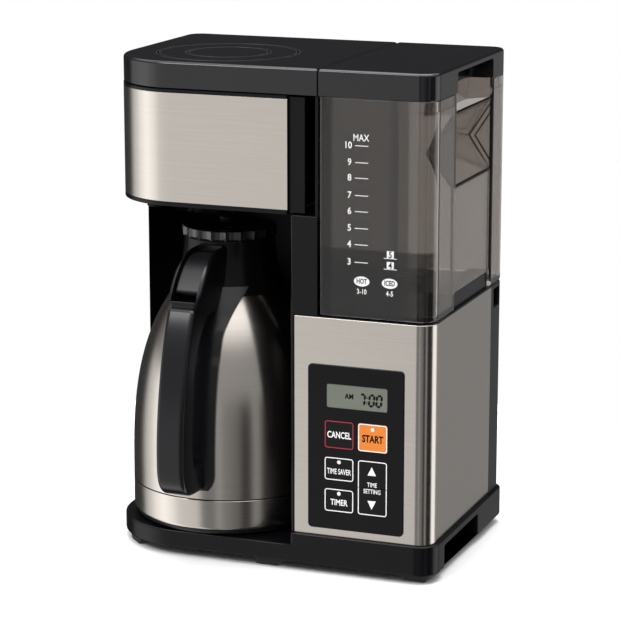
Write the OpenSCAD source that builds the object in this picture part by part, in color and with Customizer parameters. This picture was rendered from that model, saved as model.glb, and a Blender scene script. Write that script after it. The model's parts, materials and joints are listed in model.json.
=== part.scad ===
// Drip coffee maker with a swing-out filter basket, a lift-off water tank and a vacuum carafe.
// Modules are drawn in machine coordinates: X from the left side face, Y from the front face,
// Z from the table. on_origin() then moves them so that the origin is the middle of the footprint.

/* [Body] */
// Width between the side faces
body_w = 264; // [260:1:268]
// Depth from the front face to the rear face
body_d = 176.5; // [174:0.5:180]
// Height of the top cover above the table
body_h = 378; // [376:1:382]
// Wall thickness of the mouldings
wall = 2.4; // [2:0.1:2.8]
// How far the base stands proud of the body
base_proud = 3; // [2:0.5:4]
// Height of the rubber feet
foot_h = 6.5; // [5:0.5:7]
// Corner radius at the front left
corner_left = 58; // [54:1:60]
// Corner radius at the front right
corner_right = 13; // [11:1:15]
// Corner radius at the rear
corner_rear = 12; // [8:1:14]

/* [Levels] */
// Top of the carafe platform
platform_z = 20; // [18:1:22]
// Lower edge of the steel wrap
wrap_z0 = 29.4; // [28:0.2:31]
// Upper edge of the steel wrap
wrap_z1 = 195.9; // [194:0.1:197]
// Underside of the top cover and the tank lid
cover_z = 358.4; // [357:0.2:360]
// Underside of the swing basket's door
door_z0 = 270.4; // [268:0.2:272]
// Vertical seam between the basket side and the tank side
seam_x = 175; // [173:0.5:177]

/* [Carafe] */
// Carafe axis from the left side
carafe_x = 76.8; // [75:0.2:78]
// Carafe axis from the front
carafe_y = 69; // [67:0.5:71]
// Widest radius of the steel body
carafe_r = 75.8; // [74:0.2:76.4]
// Radius of the bay around the carafe
bay_r = 79; // [78:0.5:80]
// Width of the grip
grip_w = 22; // [18:1:24]
// How far the grip stands in front of the body
grip_reach = 49.5; // [45:0.5:52]

/* [Control panel] */
// Left edge of the panel
panel_x = 168; // [166:1:170]
// Lower edge of the panel
panel_z = 35.4; // [34:0.2:38]
// Panel width
panel_w = 74.7; // [70:0.1:78]
// Panel height
panel_h = 125.4; // [122:0.2:127]

/* [Hidden] */
$fn = 64;
gap = 0.4;
key_gap = 0.25;
run = 0.05;
steel_t = 0.8;
column_x = 153.6;
column_y = 130;
wrap_x = 156.8;
base_w0 = -base_proud;
base_w1 = body_w + base_proud;
frame_x = body_w / 2;
frame_y = (body_d - grip_reach) / 2;
black = "#26272b";
dark = "#17181b";
steel = "#c8c0b6";
smoke = [0.36, 0.34, 0.32, 0.55];

// Feet: place of each and the angle that turns it along the edge
foot_places = [[22, 23, -45], [134, 9, 0], [250, 12, 0], [20, 162, 0], [250, 162, 0]];
foot_half = 12;
foot_slope = 4;
// Lifting recess in the side of the base: front, back and top
arch = [25, 108, 23.7];
arch_deep = 22;
// Rear edge of the steel wrap
wrap_y1 = 143.4;

// Swing basket: hinge axis and heights
hinge_x = 9;
hinge_y = 87;
hinge_r = 8.6;
pin_r = 2;
hinge_lug_z0 = 253;
hinge_lug_z1 = 261;
door_z1 = cover_z - 0.8;
rim_z0 = 273.4;
rim_z1 = 355.4;
door_x1 = 172.0;
pull_x = 151.3;
heater_x = 166;
heater_y = 150;
bowl_r = 57;
bowl_z = 262.5;
cone_r = 8;
cone_z = 248.2;
stop_r = 2.52;

// Water tank
tank_x0 = seam_x + 0.8;
tank_z0 = 197.2;
tank_wall = 2.4;
side_y0 = 49;
side_y1 = 142;
groove_x = 244.4;
lid_hinge_y = body_d - 6;
lid_hinge_z = cover_z + 6;
lid_pin_r = 1.6;
lug_xs = [184, 250];
lug_w = 6;
outlet_x = 205;
outlet_y = 120;
outlet_r = 9;
poppet_r = 2.5;

// Carafe heights
carafe_z0 = platform_z + 0.4;
steel_z0 = 24;
neck_z = 198.6;
neck_r = 42.4;
lid_z0 = 238.9;
lid_z1 = 246.8;
collar_r = 34.9;
lid_r = 36.2;
lever_y = 22;
lever_z = 233;
liner_in = 6.5;
lever_w = 19;
lever_gap = 0.6;
hood_w = 27;
strap_w = 35;
grip_t = 21;
grip_back = -grip_reach + grip_t;

// Keys: left, low corner, width and height of each
col_a = 181.2;
col_b = 207.4;
key_w = 22.8;
key_rows = [49.3, 73.5, 98];
key_hs = [17.6, 17.6, 21.1];

// ---- Shared shapes ----

module on_origin() {
    translate([-frame_x, -frame_y, 0]) children();
}

// Outline with its own radius at each corner: front left, front right, rear right, rear left
module plan(x0, x1, y0, y1, fl, fr, br, bl) {
    polygon([[x0 + fl, y0], [x1 - fr, y0], [x1, y0 + fr], [x1, y1 - br],
        [x1 - br, y1], [x0 + bl, y1], [x0, y1 - bl], [x0, y0 + fl]]);
    quarter(x0 + fl, y0 + fl, fl, -1, -1);
    quarter(x1 - fr, y0 + fr, fr, 1, -1);
    quarter(x1 - br, y1 - br, br, 1, 1);
    quarter(x0 + bl, y1 - bl, bl, -1, 1);
}

// A quarter of a disc, towards +X or -X and +Y or -Y of its centre
module quarter(x, y, r, side_x, side_y) {
    translate([x, y]) intersection() {
        circle(r);
        translate([side_x < 0 ? -r - 1 : -0.1, side_y < 0 ? -r - 1 : -0.1]) square(r + 1.1);
    }
}

module block(x0, x1, y0, y1, z0, z1, fl = 1, fr = 1, br = 1, bl = 1) {
    translate([0, 0, z0]) linear_extrude(z1 - z0) plan(x0, x1, y0, y1, fl, fr, br, bl);
}

module box(x0, x1, y0, y1, z0, z1) {
    translate([x0, y0, z0]) cube([x1 - x0, y1 - y0, z1 - z0]);
}

module rod(x, y, z0, z1, r) {
    translate([x, y, z0]) cylinder(r = r, h = z1 - z0);
}

module rod_x(x0, x1, y, z, r) {
    translate([x0, y, z]) rotate([0, 90, 0]) cylinder(r = r, h = x1 - x0);
}

module rod_y(x, y0, y1, z, r) {
    translate([x, y0, z]) rotate([-90, 0, 0]) cylinder(r = r, h = y1 - y0);
}

// A rounded plate that stands upright in the XZ plane
module upright(x0, x1, z0, z1, y0, y1, r) {
    translate([0, y1, 0]) rotate([90, 0, 0]) linear_extrude(y1 - y0) plan(x0, x1, z0, z1, r, r, r, r);
}

// A profile of [y, z] points extruded along X
module along_x(x0, x1) {
    translate([x0, 0, 0]) rotate([90, 0, 90]) linear_extrude(x1 - x0) children();
}

module spring(x, y, z0, z1, r, wire_r) {
    rings = 5;
    pitch = (z1 - z0 - 2 * wire_r) / (rings - 1);
    for (i = [0 : rings - 1])
        translate([x, y, z0 + wire_r + i * pitch])
            rotate_extrude($fn = 32) translate([r, 0]) circle(wire_r, $fn = 16);
    box(x + r - wire_r / 2, x + r + wire_r / 2, y - wire_r / 2, y + wire_r / 2, z0 + wire_r, z1 - wire_r);
}

// Point at t on a cubic curve through p0 and p3
function curve(p0, p1, p2, p3, t) =
    pow(1 - t, 3) * p0 + 3 * t * pow(1 - t, 2) * p1 + 3 * t * t * (1 - t) * p2 + pow(t, 3) * p3;

function curve_points(p0, p1, p2, p3, n) = [for (i = [0 : n]) curve(p0, p1, p2, p3, i / n)];

// ---- Base ----

module base_outline(z0, z1, inset) {
    block(base_w0 + inset, base_w1 - inset, -base_proud + inset, body_d - inset, z0, z1,
        corner_left + base_proud - inset, corner_right + base_proud - inset,
        corner_rear - inset, corner_rear - inset);
}

module base_tray() {
    color(black) on_origin() difference() {
        union() {
            base_outline(foot_h, platform_z, 0);
            block(column_x, base_w1, -base_proud, body_d, platform_z - 1, wrap_z0,
                3, corner_right + base_proud, corner_rear, 3);
        }
        difference() {
            union() {
                base_outline(foot_h - 1, platform_z - wall, wall);
                block(column_x + wall, base_w1 - wall, 1, body_d - wall, platform_z - 4, wrap_z0 - wall,
                    3, corner_right, corner_rear - wall, 3);
            }
            box(base_w1 - arch_deep - wall, base_w1, arch[0] - wall, arch[1] + wall, foot_h, arch[2] + wall);
        }
        box(base_w1 - arch_deep, base_w1 + 1, arch[0], arch[1], foot_h - 1, arch[2]);
        rod(180, 60, wrap_z0 - wall - 1, wrap_z0 + 1, 12);
        rod(205, 150, wrap_z0 - wall - 1, wrap_z0 + 1, 8);
    }
}

module base_plate() {
    color(dark) on_origin() difference() {
        base_outline(foot_h, foot_h + 1.8, wall + 0.3);
        box(base_w1 - arch_deep - 3, base_w1, arch[0] - 3, arch[1] + 3, foot_h, foot_h + 3);
        for (p = foot_places) rod(p[0], p[1], foot_h, foot_h + 3, 4);
        for (x = [60 : 8 : 108]) box(x, x + 3, 60, 110, foot_h, foot_h + 3);
    }
}

module rubber_feet() {
    color("#1b1b1c") on_origin() for (p = foot_places) translate([p[0], p[1], 0]) rotate([0, 0, p[2]]) {
        rotate([90, 0, 0]) translate([0, 0, -7]) linear_extrude(14)
            polygon([[foot_slope - foot_half, 0], [foot_half - foot_slope, 0], [foot_half, foot_h],
                [-foot_half, foot_h]]);
        rod(0, 0, foot_h - 0.1, foot_h + 4, 3.9);
    }
}

// ---- Housings ----

module bay_cut(z0, z1, grow = 0) {
    rod(carafe_x, carafe_y, z0, z1, bay_r + grow);
    box(carafe_x - bay_r - grow, carafe_x + bay_r + grow, -10, carafe_y, z0, z1);
}

module rear_housing() {
    color(black) on_origin() difference() {
        union() {
            difference() {
                block(0, seam_x, 60, body_d, platform_z, cover_z - gap, 1, 1, 1, corner_rear);
                block(wall, seam_x - wall, 50, body_d - wall, platform_z + wall, cover_z - 4,
                    1, 1, 1, corner_rear - wall);
            }
            difference() {
                intersection() {
                    block(0.2, seam_x - 0.2, 60, body_d - wall - gap, platform_z, cover_z - gap);
                    rod(carafe_x, carafe_y, platform_z, cover_z - gap, bay_r + wall);
                }
                rod(carafe_x, carafe_y, 0, cover_z + 1, bay_r);
            }
            box(158.2, seam_x, 60, 64, door_z0 + gap, cover_z - gap);
            hinge_lug();
        }
        bay_cut(platform_z - 1, cover_z + 1);
        box(-1, 158, 0, carafe_y + 5, platform_z - 1, cover_z + 1);
        rod(hinge_x, hinge_y, hinge_lug_z1, cover_z + 1, hinge_r + 0.8);
        box(-1, hinge_x, hinge_y - 9, hinge_y + hinge_r + 1.6, hinge_lug_z1, cover_z + 1);
        rod(hinge_x, hinge_y, hinge_lug_z0 - 1, cover_z, pin_r);
        box(10, seam_x + 1, body_d - wall - 0.3, body_d + 1, platform_z + 3, cover_z - 6);
        box(column_x - 0.1, seam_x + 1, 50, body_d + 1, platform_z - 1, wrap_z0);
        rod_x(seam_x - 5, seam_x + 1, heater_y, 181.6, 10.5);
        rod(heater_x, heater_y, cover_z - 6, cover_z, 4);
        rod_y(100, 140, 175, 300, 7);
    }
    color(black) on_origin() difference() {
        hinge_lug();
        rod(hinge_x, hinge_y, hinge_lug_z0 - 1, cover_z, pin_r);
    }
}

module hinge_lug() {
    rod(hinge_x, hinge_y, hinge_lug_z0, hinge_lug_z1, hinge_r);
    box(0.4, 14, hinge_y, hinge_y + 22, hinge_lug_z0, hinge_lug_z1);
}

// Wall beside the gap that fingers reach into behind the door's pull
module finger_wall() {
    color(black) on_origin() box(seam_x - 2.2, seam_x, 1, 60, door_z0 + gap, cover_z - gap);
}

module rear_cover() {
    color(black) on_origin() difference() {
        block(10.5, body_w - 12, body_d - wall, body_d, platform_z + 3.5, cover_z - 6.5, 1, 1, 1, 1);
        box(seam_x - 0.4, body_w, 170, 180, wrap_z1, cover_z);
        box(column_x - 1, body_w, 170, 180, 0, wrap_z0);
        for (z = [60 : 9 : 132]) box(60, 120, body_d - 4, body_d + 1, z, z + 4);
        rod_y(210, body_d - 4, body_d + 1, 48, 6.6);
    }
}

module front_column() {
    color(black) on_origin() difference() {
        block(column_x, seam_x, 0, column_y, wrap_z0, door_z0, 2, 0.3, 0.3, 0.3);
        block(column_x + wall, seam_x + 1, wall, body_d, wrap_z0 - 1, door_z0 - wall, 1, 1, 1, 1);
        box(wrap_x - 0.2, seam_x + 1, -1, steel_t, wrap_z0 - 1, wrap_z1 + 0.2);
        box(seam_x - wall - 0.2, seam_x + 1, 59.8, body_d, wrap_z0, door_z0 + 1);
        rod(carafe_x, carafe_y, 0, door_z0 + 1, bay_r + wall + 0.2);
    }
}

module lower_housing() {
    color(dark) on_origin() difference() {
        union() {
            block(seam_x, body_w - steel_t, steel_t, wrap_y1 + 0.1, wrap_z0, wrap_z1,
                0.4, corner_right - steel_t, 1, 1);
            block(seam_x, body_w, wrap_y1 + 0.1, body_d, wrap_z0, wrap_z1, 1, 0.5, corner_rear, 1);
        }
        block(seam_x - 1, body_w - wall - steel_t, wall + steel_t, body_d - wall, wrap_z0 - 1, wrap_z1 - 3.5,
            1, corner_right - 3, corner_rear - 3, 1);
        box(seam_x - 1, body_w - 11.5, body_d - wall - 0.3, body_d + 1, wrap_z0 - 1, wrap_z1 + 1);
        box(panel_x + 6, panel_x + panel_w - 6, -1, 5, panel_z + 6, panel_z + panel_h - 6);
        box(body_w - 4, body_w + 1, 150, 165, 178, 193);
        rod(outlet_x, outlet_y, wrap_z1 - 5, wrap_z1 + 1, 13);
    }
}

module steel_wrap() {
    color(steel) on_origin() difference() {
        block(wrap_x, body_w, 0, wrap_y1, wrap_z0, wrap_z1, 0.4, corner_right, 0.4, 0.4);
        block(wrap_x - 5, body_w - steel_t, steel_t, wrap_y1 + 5, wrap_z0 - 1, wrap_z1 + 1,
            0.4, corner_right - steel_t, 0.4, 0.4);
        box(panel_x + 3, panel_x + panel_w - 3, -1, 2, panel_z + 3, panel_z + panel_h - 3);
    }
}

module tank_deck() {
    color(black) on_origin() difference() {
        union() {
            block(seam_x, body_w - 0.4, 0.4, body_d, wrap_z1, wrap_z1 + 1, 1, corner_right, corner_rear, 1);
            box(groove_x + 3, body_w - 2.5, side_y0 + 3, side_y1 - 3, wrap_z1, 209);
        }
        box(groove_x + 3 + wall, body_w - 2.5 - wall, side_y0 + 3 + wall, side_y1 - 3 - wall,
            wrap_z1 - 2, 209 - wall);
        rod(outlet_x, outlet_y, wrap_z1 - 2, wrap_z1 + 2, 13);
    }
}

// ---- Top ----

module top_cover() {
    color(black) on_origin() difference() {
        block(0.8, seam_x - gap, 0.8, body_d, cover_z, body_h, corner_left - 1, 0.6, 0.6, corner_rear);
        block(0.8 + wall, seam_x - gap - wall, 0.8 + wall, body_d - wall, cover_z - 1, body_h - wall,
            corner_left - 1 - wall, 1, 1, corner_rear - wall);
        for (r = [56.6, 34.9]) translate([carafe_x, carafe_y, body_h - 0.8]) rotate_extrude()
            translate([r - 0.8, 0]) square([1.6, 2]);
        for (r = [56.6, 34.9]) for (a = [0, 180]) for (d = [-8, 8])
            translate([carafe_x, carafe_y, body_h - 4]) rotate([0, 0, a + d])
                translate([r - 1.2, -3]) cube([2.4, 6, 6]);
    }
    color(black) on_origin() difference() {
        rod(hinge_x + 2, hinge_y, cover_z, body_h - 2, 6);
        rod(hinge_x, hinge_y, cover_z - 1, cover_z + 10, pin_r);
    }
}

module shower_plate() {
    color(dark) on_origin() difference() {
        union() {
            block(20, 166, 12, 160, cover_z, cover_z + 1.8, 42, 6, 6, 6);
            rod(carafe_x, carafe_y, cover_z, cover_z + 6, 20);
        }
        rod(carafe_x, carafe_y, cover_z - 1, cover_z + 8, 17);
        rod(heater_x, heater_y, cover_z - 1, cover_z + 3, 4);
    }
}

module shower_head() {
    color("#3a3a3c") on_origin() difference() {
        union() {
            rod(carafe_x, carafe_y, cover_z - 0.2, cover_z + 8, 16.9);
            rod(carafe_x, carafe_y, cover_z + 8, cover_z + 10.8, 4);
        }
        rod(carafe_x, carafe_y, cover_z + 1.6, cover_z + 6.4, 15);
        rod(carafe_x, carafe_y, cover_z + 4, cover_z + 15, 2.2);
        for (ring = [[0, 1], [5, 6], [10, 12]]) for (i = [0 : ring[1] - 1])
            translate([carafe_x, carafe_y, cover_z - 1]) rotate([0, 0, 360 * i / ring[1]])
                translate([ring[0], 0, 0]) cylinder(r = 0.9, h = 4, $fn = 16);
    }
}

// ---- Controls ----

function key_place(i) =
    i == 0 ? [col_b, key_rows[2], key_w, key_hs[2]] :
    i == 1 ? [col_a, key_rows[2], key_w, key_hs[2]] :
    i == 2 ? [col_a, key_rows[1], key_w, key_hs[1]] :
    i == 3 ? [col_a, key_rows[0], key_w, key_hs[0]] :
    i == 4 ? [col_b, 70.4, key_w, 20.7] : [col_b, 49.3, key_w, 20.7];

module key_prism(i, y0, y1, grow) {
    p = key_place(i);
    upright(p[0] - grow, p[0] + p[2] + grow, p[1] - grow, p[1] + p[3] + grow, y0, y1, 1.6 + grow);
}

module key_cap(i) {
    key_prism(i, -1.2, 2.1, 0);
    p = key_place(i);
    cap_x = p[0] + p[2] / 2;
    cap_z = p[1] + p[3] / 2;
    box(cap_x - 4, cap_x + 4, 2, 3, cap_z - 4, cap_z + 4);
}

module control_bezel() {
    color(dark) on_origin() difference() {
        union() {
            upright(panel_x, panel_x + panel_w, panel_z, panel_z + panel_h, -1.2, 0, 6);
            upright(panel_x + 3.2, panel_x + panel_w - 3.2, panel_z + 3.2, panel_z + panel_h - 3.2,
                -0.5, steel_t, 4);
        }
        for (i = [0 : 5]) key_prism(i, -3, 3, key_gap);
        upright(182.7, 230, 128.9, 146.9, -3, 3, 1.5);
        upright(179.7, 233, 125.9, 149.9, 0.4, 3, 1.5);
    }
}

module lcd_window() {
    color([0.6, 0.64, 0.58, 0.9]) on_origin() {
        upright(182.8, 229.9, 129, 146.8, -0.9, 0.6, 1.4);
        upright(179.8, 232.9, 126, 149.8, 0.45, 1.4, 1.4);
    }
}

module lcd_module() {
    color("#9aa394") on_origin() {
        box(181, 231.6, 1.5, 4, 127.5, 148.3);
        box(184, 228, 4, 6.3, 126.5, 127.4);
        box(184, 228, 4, 6.3, 148.4, 149.3);
        box(184, 228, 4, 4.4, 127, 149);
    }
}

module key_membrane() {
    color("#707274") on_origin() difference() {
        union() {
            upright(177.5, 234, 44.5, 123, 4.6, 5.8, 2);
            for (i = [0 : 5]) {
                p = key_place(i);
                rod_y(p[0] + p[2] / 2, 3.8, 4.7, p[1] + p[3] / 2, 3);
            }
        }
        for (z = [45.8, 121.6]) for (x = [179, 232.4]) rod_y(x, 4, 7, z, 0.9);
    }
}

module control_board() {
    color("#2e6b3f") on_origin() difference() {
        union() {
            upright(175, 236, 43, 155, 6.4, 8, 2);
            box(190, 205, 8, 11, 100, 115);
            box(212, 224, 8, 16, 60, 70);
            rod_y(186, 8, 18, 60, 4);
        }
        for (z = [46, 152]) for (x = [178, 233]) rod_y(x, 5, 9, z, 1.6);
    }
}

module key_start() { color("#f58c28") on_origin() key_cap(0); }
module key_cancel() { color("#2a2a2e") on_origin() key_cap(1); }
module key_saver() { color("#2a2a2e") on_origin() key_cap(2); }
module key_timer() { color("#2a2a2e") on_origin() key_cap(3); }
module key_up() { color("#2a2a2e") on_origin() key_cap(4); }
module key_down() { color("#2a2a2e") on_origin() key_cap(5); }

// ---- Inside the machine ----

module power_board() {
    color("#2e6b3f") on_origin() {
        box(181, 183, 30, 130, 45, 140);
        box(183, 203, 40, 65, 60, 85);
        box(183, 198, 75, 100, 60, 82);
        rod_y(192, 104, 122, 110, 6);
        box(183, 186, 40, 90, 100, 120);
        for (y = [34, 126]) for (z = [50, 135]) rod_x(179.5, 184, y, z, 2.4);
    }
}

module heater_tube(r_turn, tube_r, z) {
    translate([0, 0, z]) {
        rotate_extrude(angle = 300) translate([r_turn, 0]) circle(tube_r, $fn = 32);
        for (a = [0, 300]) rotate([0, 0, a]) translate([r_turn, 0, -tube_r + 1])
            cylinder(r = tube_r + 0.7, h = tube_r * 3.2);
    }
}

module preheater() {
    color("#b9bbbd") on_origin() translate([226, 100, 0]) {
        heater_tube(24, 5, 50);
        rod(24, 0, 50, 70, 3);
    }
}

module main_heater() {
    color("#b9bbbd") on_origin() {
        rod(heater_x, heater_y, 215, 318, 5.6);
        rod(heater_x, heater_y, 205, 328, 3.4);
        rod(heater_x, heater_y + 12, 222, 312, 3);
        for (z = [222, 306]) box(heater_x - 3, heater_x + 3, heater_y - 1, heater_y + 13, z, z + 6);
    }
}

module heater_brackets() {
    color("#9a9da0") on_origin() {
        difference() {
            union() {
                box(217, 235, 68, 84, 43, 44.5);
                box(217, 219, 68, 84, wrap_z0, 44);
                box(233, 235, 68, 84, wrap_z0, 44);
            }
            rod(226, 76, 40, 50, 2);
        }
        difference() {
            box(160, 171.5, 142.5, 144.2, 250, 275);
            rod_y(166, 140, 146, 262, 1.6);
        }
    }
}

module thermal_fuses() {
    color("#d6d2c4") on_origin() {
        rod_x(217, 231, 76, 57.6, 2.4);
        rod(156.4, 158.3, 240, 262, 2.2);
    }
}

function unit(v) = v / norm(v);

// Catmull-Rom point between p[i] and p[i + 1]
function along(p, i, t) =
    let (a = p[max(i - 1, 0)], b = p[i], c = p[i + 1], d = p[min(i + 2, len(p) - 1)])
    b + 0.5 * t * ((c - a) + t * ((2 * a - 5 * b + 4 * c - d) + t * (3 * b - a - 3 * c + d)));

function smooth(p, n) =
    [for (i = [0 : len(p) - 2]) for (k = [0 : n - 1]) along(p, i, k / n), p[len(p) - 1]];

// A closed tube of radius r through smoothed points
module hose(points, r, sides = 10) {
    path = smooth(points, 3);
    last = len(path) - 1;
    side = [0.36, 0.93, 0.05];
    rings = [for (i = [0 : last])
        let (ahead = unit(path[min(i + 1, last)] - path[max(i - 1, 0)]),
            out = unit(cross(ahead, side)), over = cross(ahead, out))
        for (k = [0 : sides - 1]) path[i] + r * (cos(360 * k / sides) * out + sin(360 * k / sides) * over)];
    walls = [for (i = [0 : last - 1]) for (k = [0 : sides - 1])
        let (a = i * sides + k, b = i * sides + (k + 1) % sides)
        for (f = [[a, a + sides, b], [b, a + sides, b + sides]]) f];
    polyhedron(rings, concat([[for (k = [0 : sides - 1]) k]], walls,
        [[for (k = [sides - 1 : -1 : 0]) last * sides + k]]));
}

module water_hoses() {
    color([0.85, 0.83, 0.78]) on_origin() {
        hose([[outlet_x, outlet_y, 171.8], [outlet_x, outlet_y, 165], [outlet_x, outlet_y + 1, 158],
            [212, 132, 118], [214, 150, 80], [206, 152, 52], [190, 150, 64], [189, 150, 110],
            [188, 150, 158], [184, 150, 176], [174, 150, 182], [heater_x, heater_y, 190],
            [heater_x, heater_y, 198], [heater_x, heater_y, 204.8]], 4.2);
        hose([[heater_x, heater_y, 328.2], [heater_x, heater_y, 334], [heater_x, heater_y, 340],
            [heater_x, heater_y, 358], [158, 141, 370], [110, 95, 372], [84, 75, 372.6],
            [carafe_x + 1, carafe_y + 1, 372], [carafe_x, carafe_y, 370.8],
            [carafe_x, carafe_y, 369.8]], 2.2);
    }
}

module check_valve() {
    color("#e4e0d6") on_origin() {
        rod(outlet_x, outlet_y, 172.2, 180.6, 7);
    }
}

module tank_seat() {
    color("#3f4043") on_origin() difference() {
        union() {
            rod(outlet_x, outlet_y, 181, wrap_z1 + 0.4, 12.8);
            rod(outlet_x, outlet_y, 180.7, 182, 5);
        }
        rod(outlet_x, outlet_y, 184, wrap_z1 + 1, outlet_r + 1.2);
        rod(outlet_x, outlet_y, 175, 186, 2.5);
    }
}

module hinge_pin() {
    color("#c9c9c9") on_origin() rod(hinge_x, hinge_y, hinge_lug_z0 + 0.5, cover_z + 9.5, pin_r);
}

module cord_gland() {
    color(dark) on_origin() difference() {
        union() {
            rod_y(210, body_d - 8, body_d, 48, 6.5);
            rod_y(210, body_d - 8, body_d - wall - 0.2, 48, 9);
        }
        rod_y(210, body_d - 10, body_d + 1, 48, 3.6);
    }
}

module screws() {
    color("#a8a8aa") on_origin() {
        for (p = [[40, 120], [120, 120], [180, 150], [180, 20], [60, 20]]) {
            rod(p[0], p[1], foot_h + 1.8, platform_z - wall, 1.6);
            rod(p[0], p[1], foot_h + 1.8, foot_h + 3.6, 3.2);
        }
    }
}

// ---- Swing basket ----

// A ring segment of the door: curved front and left walls
module door_plan(inset, x1) {
    difference() {
        plan(0.4 + inset, x1, 0.4 + inset, hinge_y, corner_left - inset, 1, 0.5, 0.5);
        plan(0.4 + inset + wall, x1 + 9, 0.4 + inset + wall, hinge_y + 9,
            corner_left - inset - wall, 1, 1, 1);
    }
}

module door_shell() {
    color(black) on_origin() difference() {
        union() {
            translate([0, 0, door_z0]) linear_extrude(door_z1 - door_z0) door_plan(0.9, pull_x);
            for (z = [[door_z0, rim_z0], [rim_z1, door_z1]]) translate([0, 0, z[0]])
                linear_extrude(z[1] - z[0]) door_plan(0, pull_x);
            box(pull_x - 2, 164, 3.4, 6.4, door_z0 + 1, door_z1 - 1);
            box(pull_x - 2.4, pull_x, 1.3, 6, door_z0, door_z1);
            rod(hinge_x, hinge_y, hinge_lug_z1 + gap, door_z1, hinge_r);
            box(0.6 + hinge_r - 8, 3.7, 70, hinge_y, door_z0, door_z1);
            difference() {
                translate([0, 0, door_z0]) linear_extrude(2.4) intersection() {
                    plan(2, pull_x - 1, 2, 140, corner_left - 2, 1, 1, 1);
                    union() {
                        translate([carafe_x, carafe_y]) circle(bowl_r + 16);
                        square([pull_x, 60]);
                    }
                }
                rod(carafe_x, carafe_y, door_z0 - 1, door_z0 + 5, bowl_r + 0.2);
            }
        }
        rod(hinge_x, hinge_y, hinge_lug_z1 - 1, cover_z, pin_r + run);
        difference() {
            box(-5, hinge_x, hinge_y, hinge_y + 30, hinge_lug_z1, cover_z);
            rod(hinge_x, hinge_y, hinge_lug_z1, cover_z, hinge_r);
        }
    }
}

module door_panel() {
    color(steel) on_origin() translate([0, 0, rim_z0 + 0.1])
        linear_extrude(rim_z1 - rim_z0 - 0.2) difference() {
            plan(0.4, pull_x, 0.4, 70, corner_left, 0.3, 0.3, 0.3);
            plan(1.2, pull_x + 9, 1.2, 99, corner_left - 0.8, 1, 1, 1);
        }
}

// Round holder under the filter basket, with the drip cone at the middle
module basket_holder() {
    color(black) on_origin() translate([carafe_x, carafe_y, 0]) rotate_extrude()
        polygon([[2.6, cone_z], [cone_r, cone_z], [cone_r, 253], [12, 257], [30, bowl_z],
            [bowl_r - 10, bowl_z], [bowl_r, 270], [bowl_r, 350], [bowl_r - 2, 350], [bowl_r - 2, 271],
            [bowl_r - 11, 264.7], [30, 264.7], [12, 260], [7, 257], [4.5, 252.5], [2.6, 252.5]]);
}

module filter_basket() {
    color("#3a3b3e") on_origin() translate([carafe_x, carafe_y, 0]) difference() {
        rotate_extrude() polygon([[0, 266], [26, 266], [48, 345], [53, 347], [53, 349], [46.6, 349],
            [24.4, 268], [0, 268]]);
        for (i = [0 : 5]) rotate([0, 0, 60 * i]) translate([9, -1.5, 260]) cube([12, 3, 12]);
    }
}

module drip_valve() {
    color("#8c2f2a") on_origin() {
        rod(carafe_x, carafe_y, cone_z - 0.6, 253, stop_r);
        rod(carafe_x, carafe_y, 252.55, 254.6, 4);
    }
}

module drip_spring() {
    color("#b0b0b0") on_origin() spring(carafe_x, carafe_y, 254.7, 265.9, 2.6, 0.35);
}

// ---- Water tank ----

// Hollows in the tank's side: finger recess under the lid, grip groove and seat notch
module side_hollows(shift, grow) {
    translate([shift, side_y1 + grow, 0]) rotate([90, 0, 0])
        linear_extrude(side_y1 - side_y0 + 2 * grow)
            polygon([[body_w + 9, cover_z + 9], [groove_x + 2, cover_z + 9], [groove_x - 2, 341],
                [body_w - 2, 343.3], [groove_x, 313.5], [body_w - 2, 288.9], [body_w - 2, 209.6],
                [groove_x + 2, 209.6], [groove_x + 2, 190], [body_w + 9, 190]]);
}

module tank_lugs() {
    for (x = lug_xs) {
        rod_x(x, x + lug_w, lid_hinge_y, lid_hinge_z, 3.4);
        box(x, x + lug_w, lid_hinge_y - 3.4, lid_hinge_y + 3.4, 346, lid_hinge_z);
        box(x, x + lug_w, lid_hinge_y - 3.4, body_d - 1, 346, 356);
    }
}

module water_tank() {
    color(smoke) on_origin() difference() {
        union() {
            difference() {
                block(tank_x0, body_w, 0, body_d, tank_z0, cover_z - gap, 3, corner_right, corner_rear, 3);
                difference() {
                    block(tank_x0 + tank_wall, body_w - tank_wall, tank_wall, body_d - tank_wall,
                        tank_z0 + 3, cover_z + 1,
                        1.5, corner_right - tank_wall, corner_rear - tank_wall, 1.5);
                    side_hollows(-tank_wall, tank_wall);
                }
                side_hollows(0, 0);
            }
            rod(outlet_x, outlet_y, 186.2, tank_z0 + 1, outlet_r);
            tank_lugs();
        }
        rod(outlet_x, outlet_y, 188.6, tank_z0 + 4, outlet_r - 2);
        rod(outlet_x, outlet_y, 180, 190, poppet_r + run);
        for (x = lug_xs) rod_x(x - 1, x + lug_w + 1, lid_hinge_y, lid_hinge_z, lid_pin_r);
    }
}

module tank_filter() {
    color("#d8d8d4") on_origin() difference() {
        rod(outlet_x, outlet_y, 200.3, 206, 11);
        rod(outlet_x, outlet_y, 199, 204.4, 9.6);
        for (x = [-6 : 3 : 6])
            box(outlet_x + x - 0.7, outlet_x + x + 0.7, outlet_y - 5, outlet_y + 5, 203, 207);
    }
}

module lid_hinge_pins() {
    color("#c9c9c9") on_origin()
        rod_x(lug_xs[0] - 4, lug_xs[1] + lug_w + 4, lid_hinge_y, lid_hinge_z, lid_pin_r);
}

module tank_valve() {
    color("#8c2f2a") on_origin() {
        rod(outlet_x, outlet_y, 184.6, 189.6, poppet_r);
        rod(outlet_x, outlet_y, 188.65, 190.6, 5.5);
    }
}

module tank_valve_spring() {
    color("#b0b0b0") on_origin() spring(outlet_x, outlet_y, 190.7, 204.3, 4, 0.4);
}

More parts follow.
